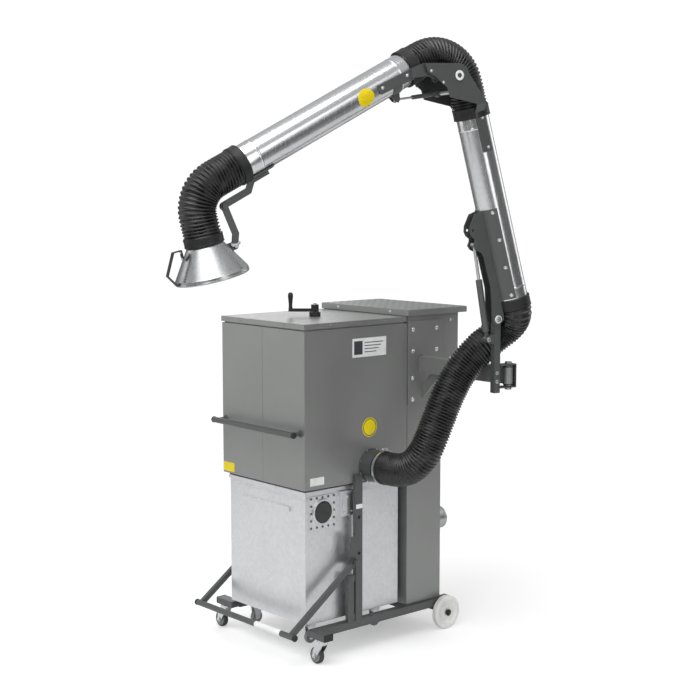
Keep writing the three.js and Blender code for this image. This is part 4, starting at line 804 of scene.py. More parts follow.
class BuildTower(bpy.types.Operator):
    """Rear tower with its fan housing, motor box, tread-plate cover and outlet"""

    bl_idname = "extractor.tower"
    bl_label = "Tower"

    def execute(self, context):
        dress_all("grey_paint", 1.2, "tower_lower", "fan_housing", "motor_box")
        dress("tower_cover", "grey_paint", 1.5)
        box_piece("tread_plate", BASE, *TREAD_SHEET, "tread_sheet", "root", 0.3)
        dress("console_plate", "grey_paint", 1.0)
        dress("fan_motor", "dark_paint", 1.5)
        dress("impeller", "galvanised_sheet", 0)
        self.tread_bars()
        self.outlet()
        self.bolts()
        for row, z in enumerate(LOUVRE_Z):
            for column, x in enumerate(LOUVRE_X):
                self.louvre(f"louvre_{row}_{column}", x, z)
        return {"FINISHED"}

    def bolts(self):
        for y, z in CONSOLE_BOLTS:
            spot = (CONSOLE_PLATE_X, y, z)
            dome_bolt(f"console_bolt_{y}_{z}", BASE, spot, RIGHT, 9, 6, "zinc_plate", "root")
        for x in COVER_BOLT_X:
            spot = (x, COVER_FRONT, COVER_BOLT_Z)
            dome_bolt(f"cover_bolt_{x}", BASE, spot, FRONT, 4.5, 2.5, "zinc_plate", "root")
        for side, _ in SIDES:
            for z in MOTOR_BOX_BOLT_Z:
                spot = (side * MOTOR_BOX_SIDE, MOTOR_BOX_BOLT_Y, z)
                rivet(f"motor_box_bolt_{side}_{z}", BASE, spot, (side, 0, 0), "root")

    def louvre(self, name, x, z):
        """One pressed cooling slot in the back of the motor box."""
        y = MOTOR_BOX_BACK
        outline = [(y - 5, z), (y, z + 1.5), (y, z + 3), (y - 5, z + 9)]
        ends = (x - LOUVRE_HALF, x + LOUVRE_HALF)
        prism_piece(name, BASE, outline, *ends, "grey_paint", "root", axis="x", bevel=0.6)

    def tread_bars(self):
        """Raised bars of the cover's chequer plate, in crossed pairs."""
        pitch = bpy.context.scene.extractor_sizes.tread_pitch / MM
        low, high = [(Vector(corner) - BASE.origin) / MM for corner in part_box("tower_cover")]
        x0, x1 = low.x + TREAD_EDGE, high.x - TREAD_EDGE
        y0, y1 = low.y + TREAD_EDGE, high.y - TREAD_EDGE
        top = high.z + 1
        columns, rows = int((x1 - x0) / pitch), int((y1 - y0) / pitch)
        points, faces = [], []
        for i in range(columns + 1):
            for j in range(rows + 1):
                cx, cy = x0 + i * (x1 - x0) / columns, y0 + j * (y1 - y0) / rows
                turn = math.pi / 4 if (i + j) % 2 else -math.pi / 4
                start = len(points)
                for scale, height in ((1.0, -0.1), (0.62, 1.1)):
                    for k in range(8):
                        a = k * math.pi / 4
                        u, v = TREAD_BAR[0] * scale * math.cos(a), TREAD_BAR[1] * scale * math.sin(a)
                        x = cx + u * math.cos(turn) - v * math.sin(turn)
                        y = cy + u * math.sin(turn) + v * math.cos(turn)
                        points.append((x, y, top + height))
                faces.append(tuple(start + 8 + k for k in range(8)))
                for k in range(8):
                    n = (k + 1) % 8
                    faces.append((start + k, start + n, start + 8 + n, start + 8 + k))
        piece("tread_bars", BASE.many(points), faces, "tread_sheet", "root", sharp=60)

    def outlet(self):
        profile = [
            (76, 0), (96, 0), (96, OUTLET_FLANGE), (80, OUTLET_FLANGE), (80, 46), (52.5, 96), (52.5, 137),
            (54, 139), (54, 145), (48.5, 145), (48.5, 98), (76, 48),
        ]
        spigot = turned_piece(
            "exhaust_outlet", rounded(profile, 2.0), BASE, OUTLET, BACK, "spun_aluminium", "root", 72,
        )
        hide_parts("exhaust_spigot")
        x, y, z = OUTLET
        for i, (dx, dz) in enumerate(ring_of(6, OUTLET_RIVET_CIRCLE, 30)):
            base = (x + dx, y + OUTLET_FLANGE, z + dz)
            dome_bolt(f"outlet_rivet_{i}", BASE, base, BACK, 3.4, 2, "zinc_plate", "root")


OUTRIGGER_CAP = ((397, 402), (24, 76), (116, 148))
RAIL_CAP = ((281, 323), (880, 884), (111, 148))
WHEEL_HALF = 15
WHEEL_BOSS_OUT = 6.2  # from the wheel's middle
AXLE_END_OUT = 17.6
CASTER_HALF = 12.5
CASTER_NUT = 20.5


class BuildChassis(bpy.types.Operator):
    """Steel chassis with its end caps, rear wheels and front casters"""

    bl_idname = "extractor.chassis"
    bl_label = "Chassis and wheels"

    def execute(self, context):
        dress("chassis_frame", "dark_paint", 1.6)
        for side, label in SIDES:
            self.cap(f"outrigger_cap_{label}", side, *OUTRIGGER_CAP, 1.6)
            self.cap(f"rail_cap_{label}", side, *RAIL_CAP, 1.4)
            self.rear_wheel(label, side)
            self.caster(label)
        return {"FINISHED"}

    def cap(self, name, side, x, y, z, bevel):
        """A plastic plug in the end of a square tube; x is given for the right side."""
        box_piece(name, BASE, sorted(side * edge for edge in x), y, z, "black_plastic", "root", bevel)

    def rear_wheel(self, label, side):
        x, y, z = joint_spot(f"rear_roll_{label}")
        body = f"rear_roller_{label}"
        out = (side, 0, 0)
        section = [
            (12, 6), (26, 6), (30, 9), (52, 9), (58, 4), (61, 0.5), (76, 0.5), (79.5, 4), (79.5, 26),
            (76, 29.5), (61, 29.5), (58, 26), (52, 21), (30, 21), (26, 24), (12, 24),
        ]
        wheel = turned_piece(
            f"wheel_{label}", rounded(section, 2.2), BASE, (x - side * WHEEL_HALF, y, z), out, "white_nylon",
            body, 96,
        )
        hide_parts(f"rear_wheel_{label}")
        boss = rounded([(0, 0), (6, 0), (5, 2.2), (0, 2.2)], 0.7)
        for i, (dy, dz) in enumerate(ring_of(6, 41)):
            spot = (x + side * WHEEL_BOSS_OUT, y + dy, z + dz)
            turned_piece(f"wheel_boss_{label}_{i}", boss, BASE, spot, out, "white_nylon", body, 24, False)
        clip = rounded([(0, 0), (16, 0), (16, 2), (10.5, 3), (10.5, 5.5), (0, 5.5)], 0.7)
        end = (x + side * AXLE_END_OUT, y, z)
        turned_piece(f"axle_cap_{label}", clip, BASE, end, out, "black_plastic", "root", 40, False)

    def caster(self, label):
        x, y, z = joint_spot(f"caster_roll_{label}")
        roller = f"caster_roller_{label}"
        dress(f"caster_fork_{label}", "zinc_plate", 1.0)
        tread = [
            (6, 1), (14, 1), (16, 3), (26, 3), (29, 0), (33.5, 0), (37.4, 4.5), (37.4, 20.5), (33.5, 25),
            (29, 25), (26, 22), (16, 22), (14, 24), (6, 24),
        ]
        hub = turned_piece(
            f"{roller}_tyre", rounded(tread, 1.5), BASE, (x, y - CASTER_HALF, z), BACK, "roller_grey", roller,
            72,
        )
        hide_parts(f"caster_wheel_{label}")
        tyre = [(29, -0.2), (33.6, -0.2), (37.5, 4.4), (37.5, 20.6), (33.6, 25.2), (29, 25.2)]
        turned_piece(
            f"caster_tyre_{label}", rounded(tyre, 1.5), BASE, (x, y - CASTER_HALF, z + 0.1), BACK,
            "grey_rubber", roller, 72,
        )
        for direction in (-1, 1):
            hex_bolt(
                f"caster_nut_{label}_{direction}", BASE, (x, y + direction * CASTER_NUT, z),
                (0, direction, 0), 7, 4.5, "zinc_plate", f"caster_{label}",
            )
        ring = rounded([(19, -4), (26, -4), (26, 2), (24.4, 3.6), (19, 3.6)], 1.0)
        race = joint_spot(f"caster_swivel_{label}") + Vector((0, 0, 1))
        turned_piece(f"caster_race_{label}", ring, BASE, race, UP, "zinc_plate", f"caster_{label}", 48)


BIN_X = 275
BIN_Y = (22, 580)
BEAD_Z = (728, 738)
BEAD_OUT = 2.0
BEAD_HALF = 2
WINDOW = (275.4, 119, 666)
WINDOW_SCREW_PITCH = 33
LATCH_X = 290
LATCH_RIVETS = ((232, 650), (280, 650), (256, 718))
BIN_WHEEL_HALF = 10


class BuildBin(bpy.types.Operator):
    """Galvanised dust bin, its window, latches and small wheels"""

    bl_idname = "extractor.bin"
    bl_label = "Dust bin"

    def execute(self, context):
        dress("waste_bin", "galvanised_sheet", 1.6)
        dress("sight_window", "zinc_plate", 1.0)
        for z in BEAD_Z:
            self.bead(f"rim_bead_{z}", z)
        self.window()
        for side, label in SIDES:
            self.latch(side)
            for end in ("front", "rear"):
                self.small_wheel(f"{end}_{label}")
        return {"FINISHED"}

    def bead(self, name, z):
        """A rolled line that runs right round the bin below its rim."""
        front, back = BIN_Y
        outer = rectangle(-BIN_X - BEAD_OUT, BIN_X + BEAD_OUT, front - BEAD_OUT, back + BEAD_OUT)
        inner = rectangle(1 - BIN_X, BIN_X - 1, front + 1, back - 1)
        heights = (z - BEAD_HALF, z + BEAD_HALF)
        points = [(px, py, pz) for pz in heights for ring in (outer, inner) for px, py in ring]
        faces = []
        for k in range(4):
            n = (k + 1) % 4
            faces += [(k, n, 8 + n, 8 + k), (4 + k, 12 + k, 12 + n, 4 + n)]
            faces += [(k, 4 + k, 4 + n, n), (8 + k, 8 + n, 12 + n, 12 + k)]
        bead = piece(name, BASE.many(points), faces, "galvanised_sheet", "bin")
        weld_poles(bead)
        round_edges(bead, 1.4)

    def window(self):
        """The round pane and the screws round its frame."""
        x, y, z = WINDOW
        pane = rounded([(0, 0), (49.6, 0), (49.6, 1.2), (44, 2.6), (0, 3.0)], 0.6)
        turned_piece("window_pane", pane, BASE, (x + 6.1, y, z), RIGHT, "window_glass", "bin", 72, False)
        for row in range(-2, 3):
            for column in range(-2, 3):
                if max(abs(row), abs(column)) == 2:
                    base = (x + 3, y + WINDOW_SCREW_PITCH * row, z + WINDOW_SCREW_PITCH * column)
                    dome_bolt(
                        f"window_screw_{row}_{column}", BASE, base, RIGHT, 2.6, 2, "dark_paint", "bin",
                    )

    def latch(self, side):
        x, face = side * LATCH_X, side * (LATCH_X + 2)
        outline = [(222, 640), (290, 640), (290, 652), (282, 730), (230, 730), (222, 652)]
        prism_piece(f"latch_cover_{side}", BASE, outline, *sorted((x, face)), "zinc_plate", "bin", axis="x")
        for i, (y, z) in enumerate(LATCH_RIVETS):
            dome_bolt(
                f"latch_rivet_{side}_{i}", BASE, (face, y, z), (side, 0, 0), 3.6, 2, "zinc_plate", "bin",
            )

    def small_wheel(self, label):
        x, y, z = joint_spot(f"bin_roll_{label}")
        profile = [
            (7, 1), (13, 1), (15, 3), (22, 3), (24, 0), (27.5, 0), (29.9, 3), (29.9, 17), (27.5, 20),
            (24, 20), (22, 17), (15, 17), (13, 19), (7, 19),
        ]
        wheel = turned_piece(
            f"bin_roller_{label}_tyre", rounded(profile, 1.2), BASE, (x - BIN_WHEEL_HALF, y, z), RIGHT,
            "roller_grey", f"bin_roller_{label}", 56,
        )
        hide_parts(f"bin_wheel_{label}")


LEVER_BAR = (361, -112, 157)  # the right end of the lever's foot bar
LEVER_NUT_X = 349
POST_BAND = ((322.1, 322.9), (279, 317), (662, 682))


class BuildLift(bpy.types.Operator):
    """Lever and posts that raise the bin against its seal"""

    bl_idname = "extractor.lift"
    bl_label = "Bin lift"

    def execute(self, context):
        dress_all("dark_paint", 1.4, "lift_post_left", "lift_post_right", "lift_lever")
        end, bar_y, bar_z = LEVER_BAR
        _, pivot_y, pivot_z = joint_spot("lift")
        for side, label in SIDES:
            bar_cap(f"lever_cap_{label}", (side * end, bar_y, bar_z), side, 14.8, 11, "lever")
            nut = (side * LEVER_NUT_X, pivot_y, pivot_z)
            hex_bolt(f"lever_nut_{label}", BASE, nut, (side, 0, 0), 13, 7, "dark_paint", "root")
            x, y, z = POST_BAND
            x = sorted(side * edge for edge in x)
            box_piece(f"post_mark_{label}", BASE, x, y, z, "white_film", "root", 0.2)
        sleeve = rounded([(13.6, 0), (14.1, 0), (14.1, 180), (13.6, 180)], 0.2)
        turned_piece("lever_mark", sleeve, BASE, (90, bar_y, bar_z), RIGHT, "white_film", "lever", 48)
        return {"FINISHED"}


CRANK_ARM_TOP = 1546.8
CRANK_NUT_Z = 1564.2
BEARING_SCREW_Z = 1530.2


class BuildCrank(bpy.types.Operator):
    """Black crank on the lid that turns the filter's beater"""

    bl_idname = "extractor.crank"
    bl_label = "Filter crank"

    def execute(self, context):
        dress("crank_bearing", "black_plastic", 1.2)
        dress("crank_arm", "black_plastic", 1.5)
        shaft_x, shaft_y, _ = joint_spot("crank_turn")
        grip_x, grip_y, _ = joint_spot("crank_grip_spin")
        handle = [
            (4.8, 0), (9, 0), (9.5, 3), (8.4, 10), (8.6, 20), (9.8, 34), (11.4, 48), (12, 58), (11.2, 67),
            (8, 72), (4.8, 73),
        ]
        grip = turned_piece(
            "crank_handle", rounded(handle, 2.0), BASE, (grip_x, grip_y, CRANK_ARM_TOP), UP, "black_plastic",
            "crank_knob", 48,
        )
        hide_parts("crank_grip")
        cap = rounded([(0, 0), (5, 0), (5, 1.6), (0, 2.4)], 0.5)
        top = (grip_x, grip_y, CRANK_ARM_TOP + 72.6)
        turned_piece("crank_handle_cap", cap, BASE, top, UP, "zinc_plate", "crank", 24, False)
        hex_bolt("crank_nut", BASE, (shaft_x, shaft_y, CRANK_NUT_Z), UP, 9, 5, "zinc_plate", "crank")
        for i, (dx, dy) in enumerate(ring_of(3, 19.5, 40)):
            spot = (shaft_x + dx, shaft_y + dy, BEARING_SCREW_Z)
            dome_bolt(f"bearing_screw_{i}", BASE, spot, UP, 2.6, 0.2, "zinc_plate", "root")
        return {"FINISHED"}


INLET_Y = 390
INLET_Z = 846
INLET_FLANGE_X = 305.8
INLET_RIVET_CIRCLE = 75.2
SWIVEL_BEARING_Z = (1243.5, 1321)
MAST_BOLT_Z = (1262, 1300)
MAST_X = 69
MAST_HALF = 15
CLAMP_SCREW = (392.4, 376, 930)
CLEVIS = (114.5, 1447)  # x and z in ARM of the lower strut's pin


class BuildArmBase(bpy.types.Operator):
    """Console beam, swivel fork and mast that carry the arm"""

    bl_idname = "extractor.arm_base"
    bl_label = "Arm base"

    def execute(self, context):
        dress("console_beam", "grey_paint", 1.4)
        dress("swivel_post", "dark_paint", 1.4)
        dress("swivel_pin", "zinc_plate", 0.8)
        dress("inlet_collar", "dark_paint", 1.0)
        dress("hose_clamp", "zinc_plate", 0.6)
        ring = rounded([(12.6, 0), (23.4, 0), (23.4, 3.6), (12.6, 3.6)], 0.8)
        for i, z in enumerate(SWIVEL_BEARING_Z):
            turned_piece(f"swivel_bearing_{i}", ring, ARM, (0, 0, z), UP, "black_plastic", "root", 48)
        for side, _ in SIDES:
            for z in MAST_BOLT_Z:
                hex_bolt(
                    f"mast_bolt_{side * 22.5}_{z}", ARM, (MAST_X, side * MAST_HALF, z), (0, side, 0), 6.5,
                    4.5, "zinc_plate", "arm_base",
                )
        self.clamp()
        x, z = CLEVIS
        for side, _ in SIDES:
            hex_bolt(
                f"clevis_nut_{side}", ARM, (x, side * MAST_HALF, z), (0, side, 0), 8, 5, "zinc_plate",
                "arm_base",
            )
        return {"FINISHED"}

    def clamp(self):
        """The hose clamp's screw, and the rivets of the collar behind it."""
        screw = rounded([(0, 0), (4.2, 0), (4.2, 26), (0, 26)], 0.5)
        turned_piece("clamp_screw", screw, BASE, CLAMP_SCREW, BACK, "zinc_plate", "root", 24, False)
        x, y, z = CLAMP_SCREW
        hex_bolt("clamp_screw_head", BASE, (x, y - 0.4, z), FRONT, 6.5, 6, "zinc_plate", "root")
        for i, (dy, dz) in enumerate(ring_of(8, INLET_RIVET_CIRCLE, 22.5)):
            spot = (INLET_FLANGE_X, INLET_Y + dy, INLET_Z + dz)
            dome_bolt(f"inlet_rivet_{i}", BASE, spot, RIGHT, 0.9, 0.8, "zinc_plate", "root")


TUBE_SKIN = 74.4  # half the width over the straps that hold a tube
SADDLE_SKIN = 74.3  # radius over the saddle's band
SADDLE_RIVETS = ((-65, 457), (-68, 336), (-68, 214), (-68, 91))
ELBOW_RIVETS = ((-108, 854), (-106, 729))
PLATE_RIVETS = ((104, 1098), (60, 1040))
ELBOW_PIN = (-20, 1050)  # x and z in LOWER
ELBOW_PLATE_OUT = 102.5  # half the width over the elbow plates
SHOULDER_BOSS = 24.6
SHOULDER_NUT = 28
LOWER_FINISHES = {
    "shoulder_strut_tube": "dark_paint", "elbow_strut_tube": "dark_paint",
    "shoulder_strut_rod": "zinc_plate", "elbow_strut_rod": "zinc_plate",
}


class BuildLowerArm(bpy.types.Operator):
    """Lower tube with its saddle, gas struts and elbow plates"""

    bl_idname = "extractor.lower_arm"
    bl_label = "Lower arm"

    def execute(self, context):
        tube = tube_piece("lower_arm_tube", LOWER, (LOWER_AXIS, 0, 40), UP, 850, "lower_arm")
        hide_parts("lower_tube")
        dress("shoulder_saddle", "dark_paint", 0.9)
        dress_all("dark_paint", 0.9, "elbow_plate_left", "elbow_plate_right")
        dress("elbow_cross_pin", "zinc_plate", 0.5)
        for node, finish in LOWER_FINISHES.items():
            dress(node, finish, 0.6)
        for side, _ in SIDES:
            self.pivots(side)
            self.rivets(side)
        return {"FINISHED"}

    def pivots(self, side):
        out = (0, side, 0)
        x, z = ELBOW_PIN
        washer(f"shoulder_washer_{side}", LOWER, (0, side * SHOULDER_BOSS, 0), out, 17, 8.9, 3, "lower_arm")
        washer(f"elbow_washer_{side}", LOWER, (x, side * 106.6, z), out, 20.4, 9.6, 2, "lower_arm")
        nut = (0, side * SHOULDER_NUT, 0)
        hex_bolt(f"shoulder_nut_{side}", LOWER, nut, out, 9, 6, "zinc_plate", "arm_base")

    def rivets(self, side):
        out = (0, side, 0)
        for x, z in SADDLE_RIVETS:
            out_x = x - LOWER_AXIS
            out_y = side * math.sqrt(SADDLE_SKIN ** 2 - out_x ** 2)
            rivet(f"saddle_rivet_{side}_{z}", LOWER, (x, out_y, z), (out_x, out_y, 0), "lower_arm")
        for x, z in ELBOW_RIVETS:
            rivet(f"elbow_rivet_{side}_{z}", LOWER, (x, side * TUBE_SKIN, z), out, "lower_arm")
        for x, z in PLATE_RIVETS:
            dome_bolt(
                f"plate_rivet_{side}_{z}", LOWER, (x, side * ELBOW_PLATE_OUT, z), out, 4, 2.5, "zinc_plate",
                "lower_arm",
            )


YOKE_RIVETS = ((332, 107), (206, 101))
YOKE_INSIDE = 80.8
LINK_PIN = (1137, -6, 7)
TUBE_STICKER = (415, -0.17, 38)  # way along the tube, turn round it in radians, radius


class BuildUpperArm(bpy.types.Operator):
    """Upper tube with its yoke, hood bracket and link"""

    bl_idname = "extractor.upper_arm"
    bl_label = "Upper arm"

    def execute(self, context):
        tube = tube_piece("upper_arm_tube", UPPER, (150, 0, UPPER_AXIS), RIGHT, 860, "upper_arm")
        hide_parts("upper_tube")
        dress("elbow_yoke", "dark_paint", 0.9)
        dress("hood_bracket", "dark_paint", 0.9)
        dress("hood_link", "dark_paint", 0.9)
        for side, _ in SIDES:
            for x, z in YOKE_RIVETS:
                rivet(f"yoke_rivet_{side}_{x}", UPPER, (x, side * TUBE_SKIN, z), (0, side, 0), "upper_arm")
            washer(
                f"yoke_washer_{side}", UPPER, (0, side * YOKE_INSIDE, 0), (0, -side, 0), 17, 9.9, 2.6,
                "upper_arm", "roller_grey",
            )
        washer("link_washer", UPPER, LINK_PIN, FRONT, 14, 6.5, 2.5, "upper_arm")
        self.tube_roundel(*TUBE_STICKER)
        return {"FINISHED"}

    def tube_roundel(self, along, turn, radius):
        """A plain round sticker wrapped on the side of the tube."""
        steps = [radius * k / 8 for k in range(9)]
        flat, faces = lathe([(r, 0.45) for r in steps] + [(r, 0.1) for r in steps[::-1]], 64, False)
        points = []
        for x, y, height in flat:
            angle = turn + y / TUBE
            reach = TUBE + height
            points.append((along + x, reach * math.cos(angle), UPPER_AXIS + reach * math.sin(angle)))
        weld_poles(piece("tube_roundel", UPPER.many(points), faces, "yellow_film", "upper_arm"))


HOOD_FOOT = (144, 19)  # radius and height where the cone leaves its rim
HOOD_NECK = (70, 130)  # radius and height where it meets its neck
HOOD_RIVET_Z = 78
HANDLE_RIVET_X = 103.2


def cone_radius(height):
    """Outside radius of the hood's cone at a height over its rim."""
    share = (height - HOOD_FOOT[1]) / (HOOD_NECK[1] - HOOD_FOOT[1])
    return HOOD_FOOT[0] - share * (HOOD_FOOT[0] - HOOD_NECK[0])


class BuildHood(bpy.types.Operator):
    """Spun aluminium hood with its handle and wing screw"""

    bl_idname = "extractor.hood"
    bl_label = "Hood"

    def execute(self, context):
        outside = [
            (144, 0), (145.4, 3), (145.4, 6), (144, 9), (144, 17), (141, 21), (74, 126), (71, 131), (70, 135),
            (70, 144),
        ]
        inside = [(68, 144), (68, 131), (72, 125), (139, 20), (142, 16), (142, 0)]
        bell = turned_piece(
            "hood_bell", rounded(outside + inside, 1.2), HOOD, (0, 0, 0), UP, "spun_aluminium", "hood", 128,
        )
        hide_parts("hood_cone")
        self.lug()
        dress("hood_handle", "black_plastic", 1.2)
        dress("wing_screw", "zinc_plate", 0.8)
        self.rivets()
        return {"FINISHED"}

    def rivets(self):
        slope = math.atan2(HOOD_FOOT[0] - HOOD_NECK[0], HOOD_NECK[1] - HOOD_FOOT[1])
        radius = cone_radius(HOOD_RIVET_Z)
        for i, angle in enumerate((-64, -38, 205, 232)):
            x, y = math.cos(math.radians(angle)), math.sin(math.radians(angle))
            direction = (x * math.cos(slope), y * math.cos(slope), math.sin(slope))
            base = (radius * x, radius * y, HOOD_RIVET_Z)
            dome_bolt(f"hood_rivet_{i}", HOOD, base, direction, 2.6, 1.6, "spun_aluminium", "hood")
        for z in (101, 128):
            base = (HANDLE_RIVET_X, 0, z)
            dome_bolt(f"handle_rivet_{z}", HOOD, base, RIGHT, 4, 2.4, "zinc_plate", "hood")

    def lug(self):
        """The ear on the cone that the link's screw goes through."""
        x, z = LUG
        outline = [(1 - cone_radius(z - 22), z - 22), (1 - cone_radius(z + 14), z + 14), (x + 4, z + 15)]
        outline += [(x + 15 * math.cos(a), z + 15 * math.sin(a)) for a in np.linspace(1.5, 4.8, 14)]
        prism_piece("hood_lug", HOOD, outline, -4, 4, "dark_paint", "hood", bevel=1.0)


LOOP_ROUTE = [
    (378.8, 390, 846), (418.4, 390, 846), (494, 388, 852), (569, 395, 880), (617, 410, 935), (639, 432, 1001),
    (656, 462, 1089), (668, 500, 1180), (680, 545, 1262), (704, 592, 1337), (730, 640, 1394), (744, 678, 1424),
    (766, 710, 1453), (796, 733, 1485), (827, 741, 1519),
]
LOOP_SPLIT = 0.77  # share of the loop's length where the cabinet's stretch gives way to the arm's
HOOD_SPLIT = 0.55
ELBOW_BEND = 150
HOOD_BEND = 130
LOWER_ENDS = (39.6, 890.4)  # heights in LOWER where hoses meet the lower tube
UPPER_ENDS = (149.6, 1010.4)  # ways along UPPER where hoses meet the upper tube
HOOD_END = 144.4  # height over the rim where the hose meets the hood's neck


class BuildHoses(bpy.types.Operator):
    """Ribbed hoses with their cuffs, from the cabinet to the hood"""

    bl_idname = "extractor.hoses"
    bl_label = "Hoses"

    def execute(self, context):
        self.loop()
        self.elbow()
        self.hood()
        self.cuffs()
        return {"FINISHED"}

    def loop(self):
        """From the inlet up to the lower tube, in two stretches, the second rising to the leaning tube."""
        ends = (in_arm(LOWER, LOWER_AXIS, 0), in_arm(LOWER, LOWER_AXIS, LOWER_ENDS[0]))
        route = LOOP_ROUTE + [tuple((ARM.at(x, 0, z) - BASE.origin) / MM) for x, z in ends]
        self.stretch(
            "loop_hose", BASE, route, (0, LOOP_SPLIT), "lower_hose_a", ("root", "arm_base"), (0.06, 0.74),
            0.3,
        )
        self.stretch(
            "rise_hose", BASE, route, (LOOP_SPLIT, 1), "lower_hose_b", ("arm_base", "lower_arm"), (0.8, 0.97),
            1.7,
        )

    def elbow(self):
        start, end = in_arm(LOWER, LOWER_AXIS, LOWER_ENDS[1]), in_arm(UPPER, UPPER_ENDS[0], UPPER_AXIS)
        route = bend(start, 90 - LEAN, end, -FOLD, ELBOW_BEND)
        self.stretch(
            "elbow_bellows", ARM, route, (0, 1), "elbow_hose", ("lower_arm", "upper_arm"), (0.1, 0.9), 2.1,
        )

    def hood(self):
        start, end = in_arm(UPPER, UPPER_ENDS[1], UPPER_AXIS), in_arm(HOOD, 0, HOOD_END)
        route = bend(start, -FOLD, end, -90 - TILT, HOOD_BEND)
        self.stretch(
            "hood_bellows_upper", ARM, route, (0, HOOD_SPLIT), "hood_hose_a", ("upper_arm", "hood_arm"),
            (0.06, 0.5), 0.8,
        )
        self.stretch(
            "hood_bellows_lower", ARM, route, (HOOD_SPLIT, 1), "hood_hose_b", ("hood_arm", "hood"),
            (0.6, 0.94), 1.1,
        )

    def cuffs(self):
        length = bpy.context.scene.extractor_sizes.cuff_length / MM
        cuff("cuff_shoulder", LOWER, (LOWER_AXIS, 0, 65), DOWN, length, "lower_arm")
        cuff("cuff_elbow_low", LOWER, (LOWER_AXIS, 0, 858), UP, length, "lower_arm")
        cuff("cuff_elbow_high", UPPER, (176, 0, UPPER_AXIS), LEFT, length, "upper_arm")
        cuff("cuff_hood_high", UPPER, (992, 0, UPPER_AXIS), RIGHT, length - 10, "upper_arm")
        cuff("cuff_hood_low", HOOD, (0, 0, 131.5), UP, length - 12, "hood")
        sleeve = rounded([(73.4, 0), (75.7, 0), (75.7, 32), (74.2, 36), (73.4, 36)], 0.8)
        base = (374.5, INLET_Y, INLET_Z)
        turned_piece("cuff_inlet", sleeve, BASE, base, RIGHT, "cuff_rubber", "root", 72)

    def stretch(self, name, place, route, share, node, bodies, turn, seed):
        """A share of a route as one hose, made in place of a CAD node. The bodies argument is not used."""
        points, faces = ribbed_hose(route, share, seed)
        hose = piece(name, place.many(points), faces, "hose_fabric", None, sharp=80)
        samples, _ = centripetal(route, 101)
        start, end = (place.at(*samples[round(t * 100)]) for t in turn)
        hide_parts(node)
        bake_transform(hose)


NAME_PLATE = ((276, 480), (1344, 1429))
NAME_BLOCK = ((286, 336), (1356, 1417))
NAME_LINES = (348, 462, (1408, 1394, 1380, 1366))
RATING_PLATE = ((30, 110), (795, 830))
ROUNDEL = (380, 1021, 44)
FRONT_STICKER = ((-296, -214), (-0.7, -0.05), (786, 828))


class BuildLabels(bpy.types.Operator):
    """Plain plates and stickers with no writing"""

    bl_idname = "extractor.labels"
    bl_label = "Labels"

    def execute(self, context):
        self.plate("side_label", CABINET_SIDE, *NAME_PLATE, "white_film")
        on_plate = CABINET_SIDE + 0.6
        self.plate("side_label_block", on_plate, *NAME_BLOCK, "dark_film")
        start, end, heights = NAME_LINES
        for i, z in enumerate(heights):
            across = (start, end - 14 * i)
            self.plate(f"side_label_line_{i}", on_plate, across, (z - 2, z + 2), "dark_film", 0.15)
        self.plate("small_label", CABINET_SIDE, *RATING_PLATE, "white_film")
        self.roundel("side_roundel", *ROUNDEL)
        box_piece("front_sticker", BASE, *FRONT_STICKER, "yellow_film", "root", 0.2)
        return {"FINISHED"}

    def plate(self, name, x, y, z, finish, thick=0.6):
        box_piece(name, BASE, (x + 0.02, x + thick), y, z, finish, "root", 0.15)

    def roundel(self, name, y, z, radius):
        """A round sticker on the cabinet's side with a thin dark ring."""
        base = (CABINET_SIDE + 0.1, y, z)
        disc = rounded([(0, 0), (radius, 0), (radius, 0.6), (0, 0.6)], 0.2)
        turned_piece(name, disc, BASE, base, RIGHT, "yellow_film", "root", 64, False)
        ring = [(radius * 0.82, 0.55), (radius * 0.9, 0.55), (radius * 0.9, 0.8), (radius * 0.82, 0.8)]
        turned_piece(f"{name}_ring", ring, BASE, base, RIGHT, "dark_film", "root", 64)


# ------------------------------------------------------------------ stage
FLOOR_RADIUS = 5.2
FLOOR_GLOW = 0.32  # lifts the floor to paper white where the camera sees it, without lighting the object
LIGHT_AIM = (0, 0, 1.3)
# Name, compass angle in degrees, distance and height in metres, width and height of its face, watts.
SOFTBOXES = (
    ("overhead", 20, 2.5, 5.6, 4.0, 4.0, 170),
    ("softbox_front", -48, 7.0, 2.2, 4.0, 4.5, 52),
    ("softbox_near", 30, 7.5, 3.4, 1.6, 4.5, 62),
    ("softbox_side", 84, 7.0, 3.2, 2.4, 5.5, 75),
    ("softbox_back", 170, 7.0, 3.4, 3.0, 4.0, 50),
    ("softbox_left", -120, 7.0, 3.4, 3.0, 4.0, 45),
)
# Greys of the room by height, from straight down (0) to straight up (1).
ROOM_GREYS = ((0.38, 0.4), (0.44, 0.2), (0.54, 0.24), (0.68, 0.8), (1.0, 1.0))
ROOM_STRENGTH = 0.6
BACKDROP_STRENGTH = 1.05
CAMERA_PLACE = (4.68696, -3.86753, 2.072)
CAMERA_AZIMUTH = 48.79
CAMERA_PITCH = 6.4
CAMERA_LENS = 71.8


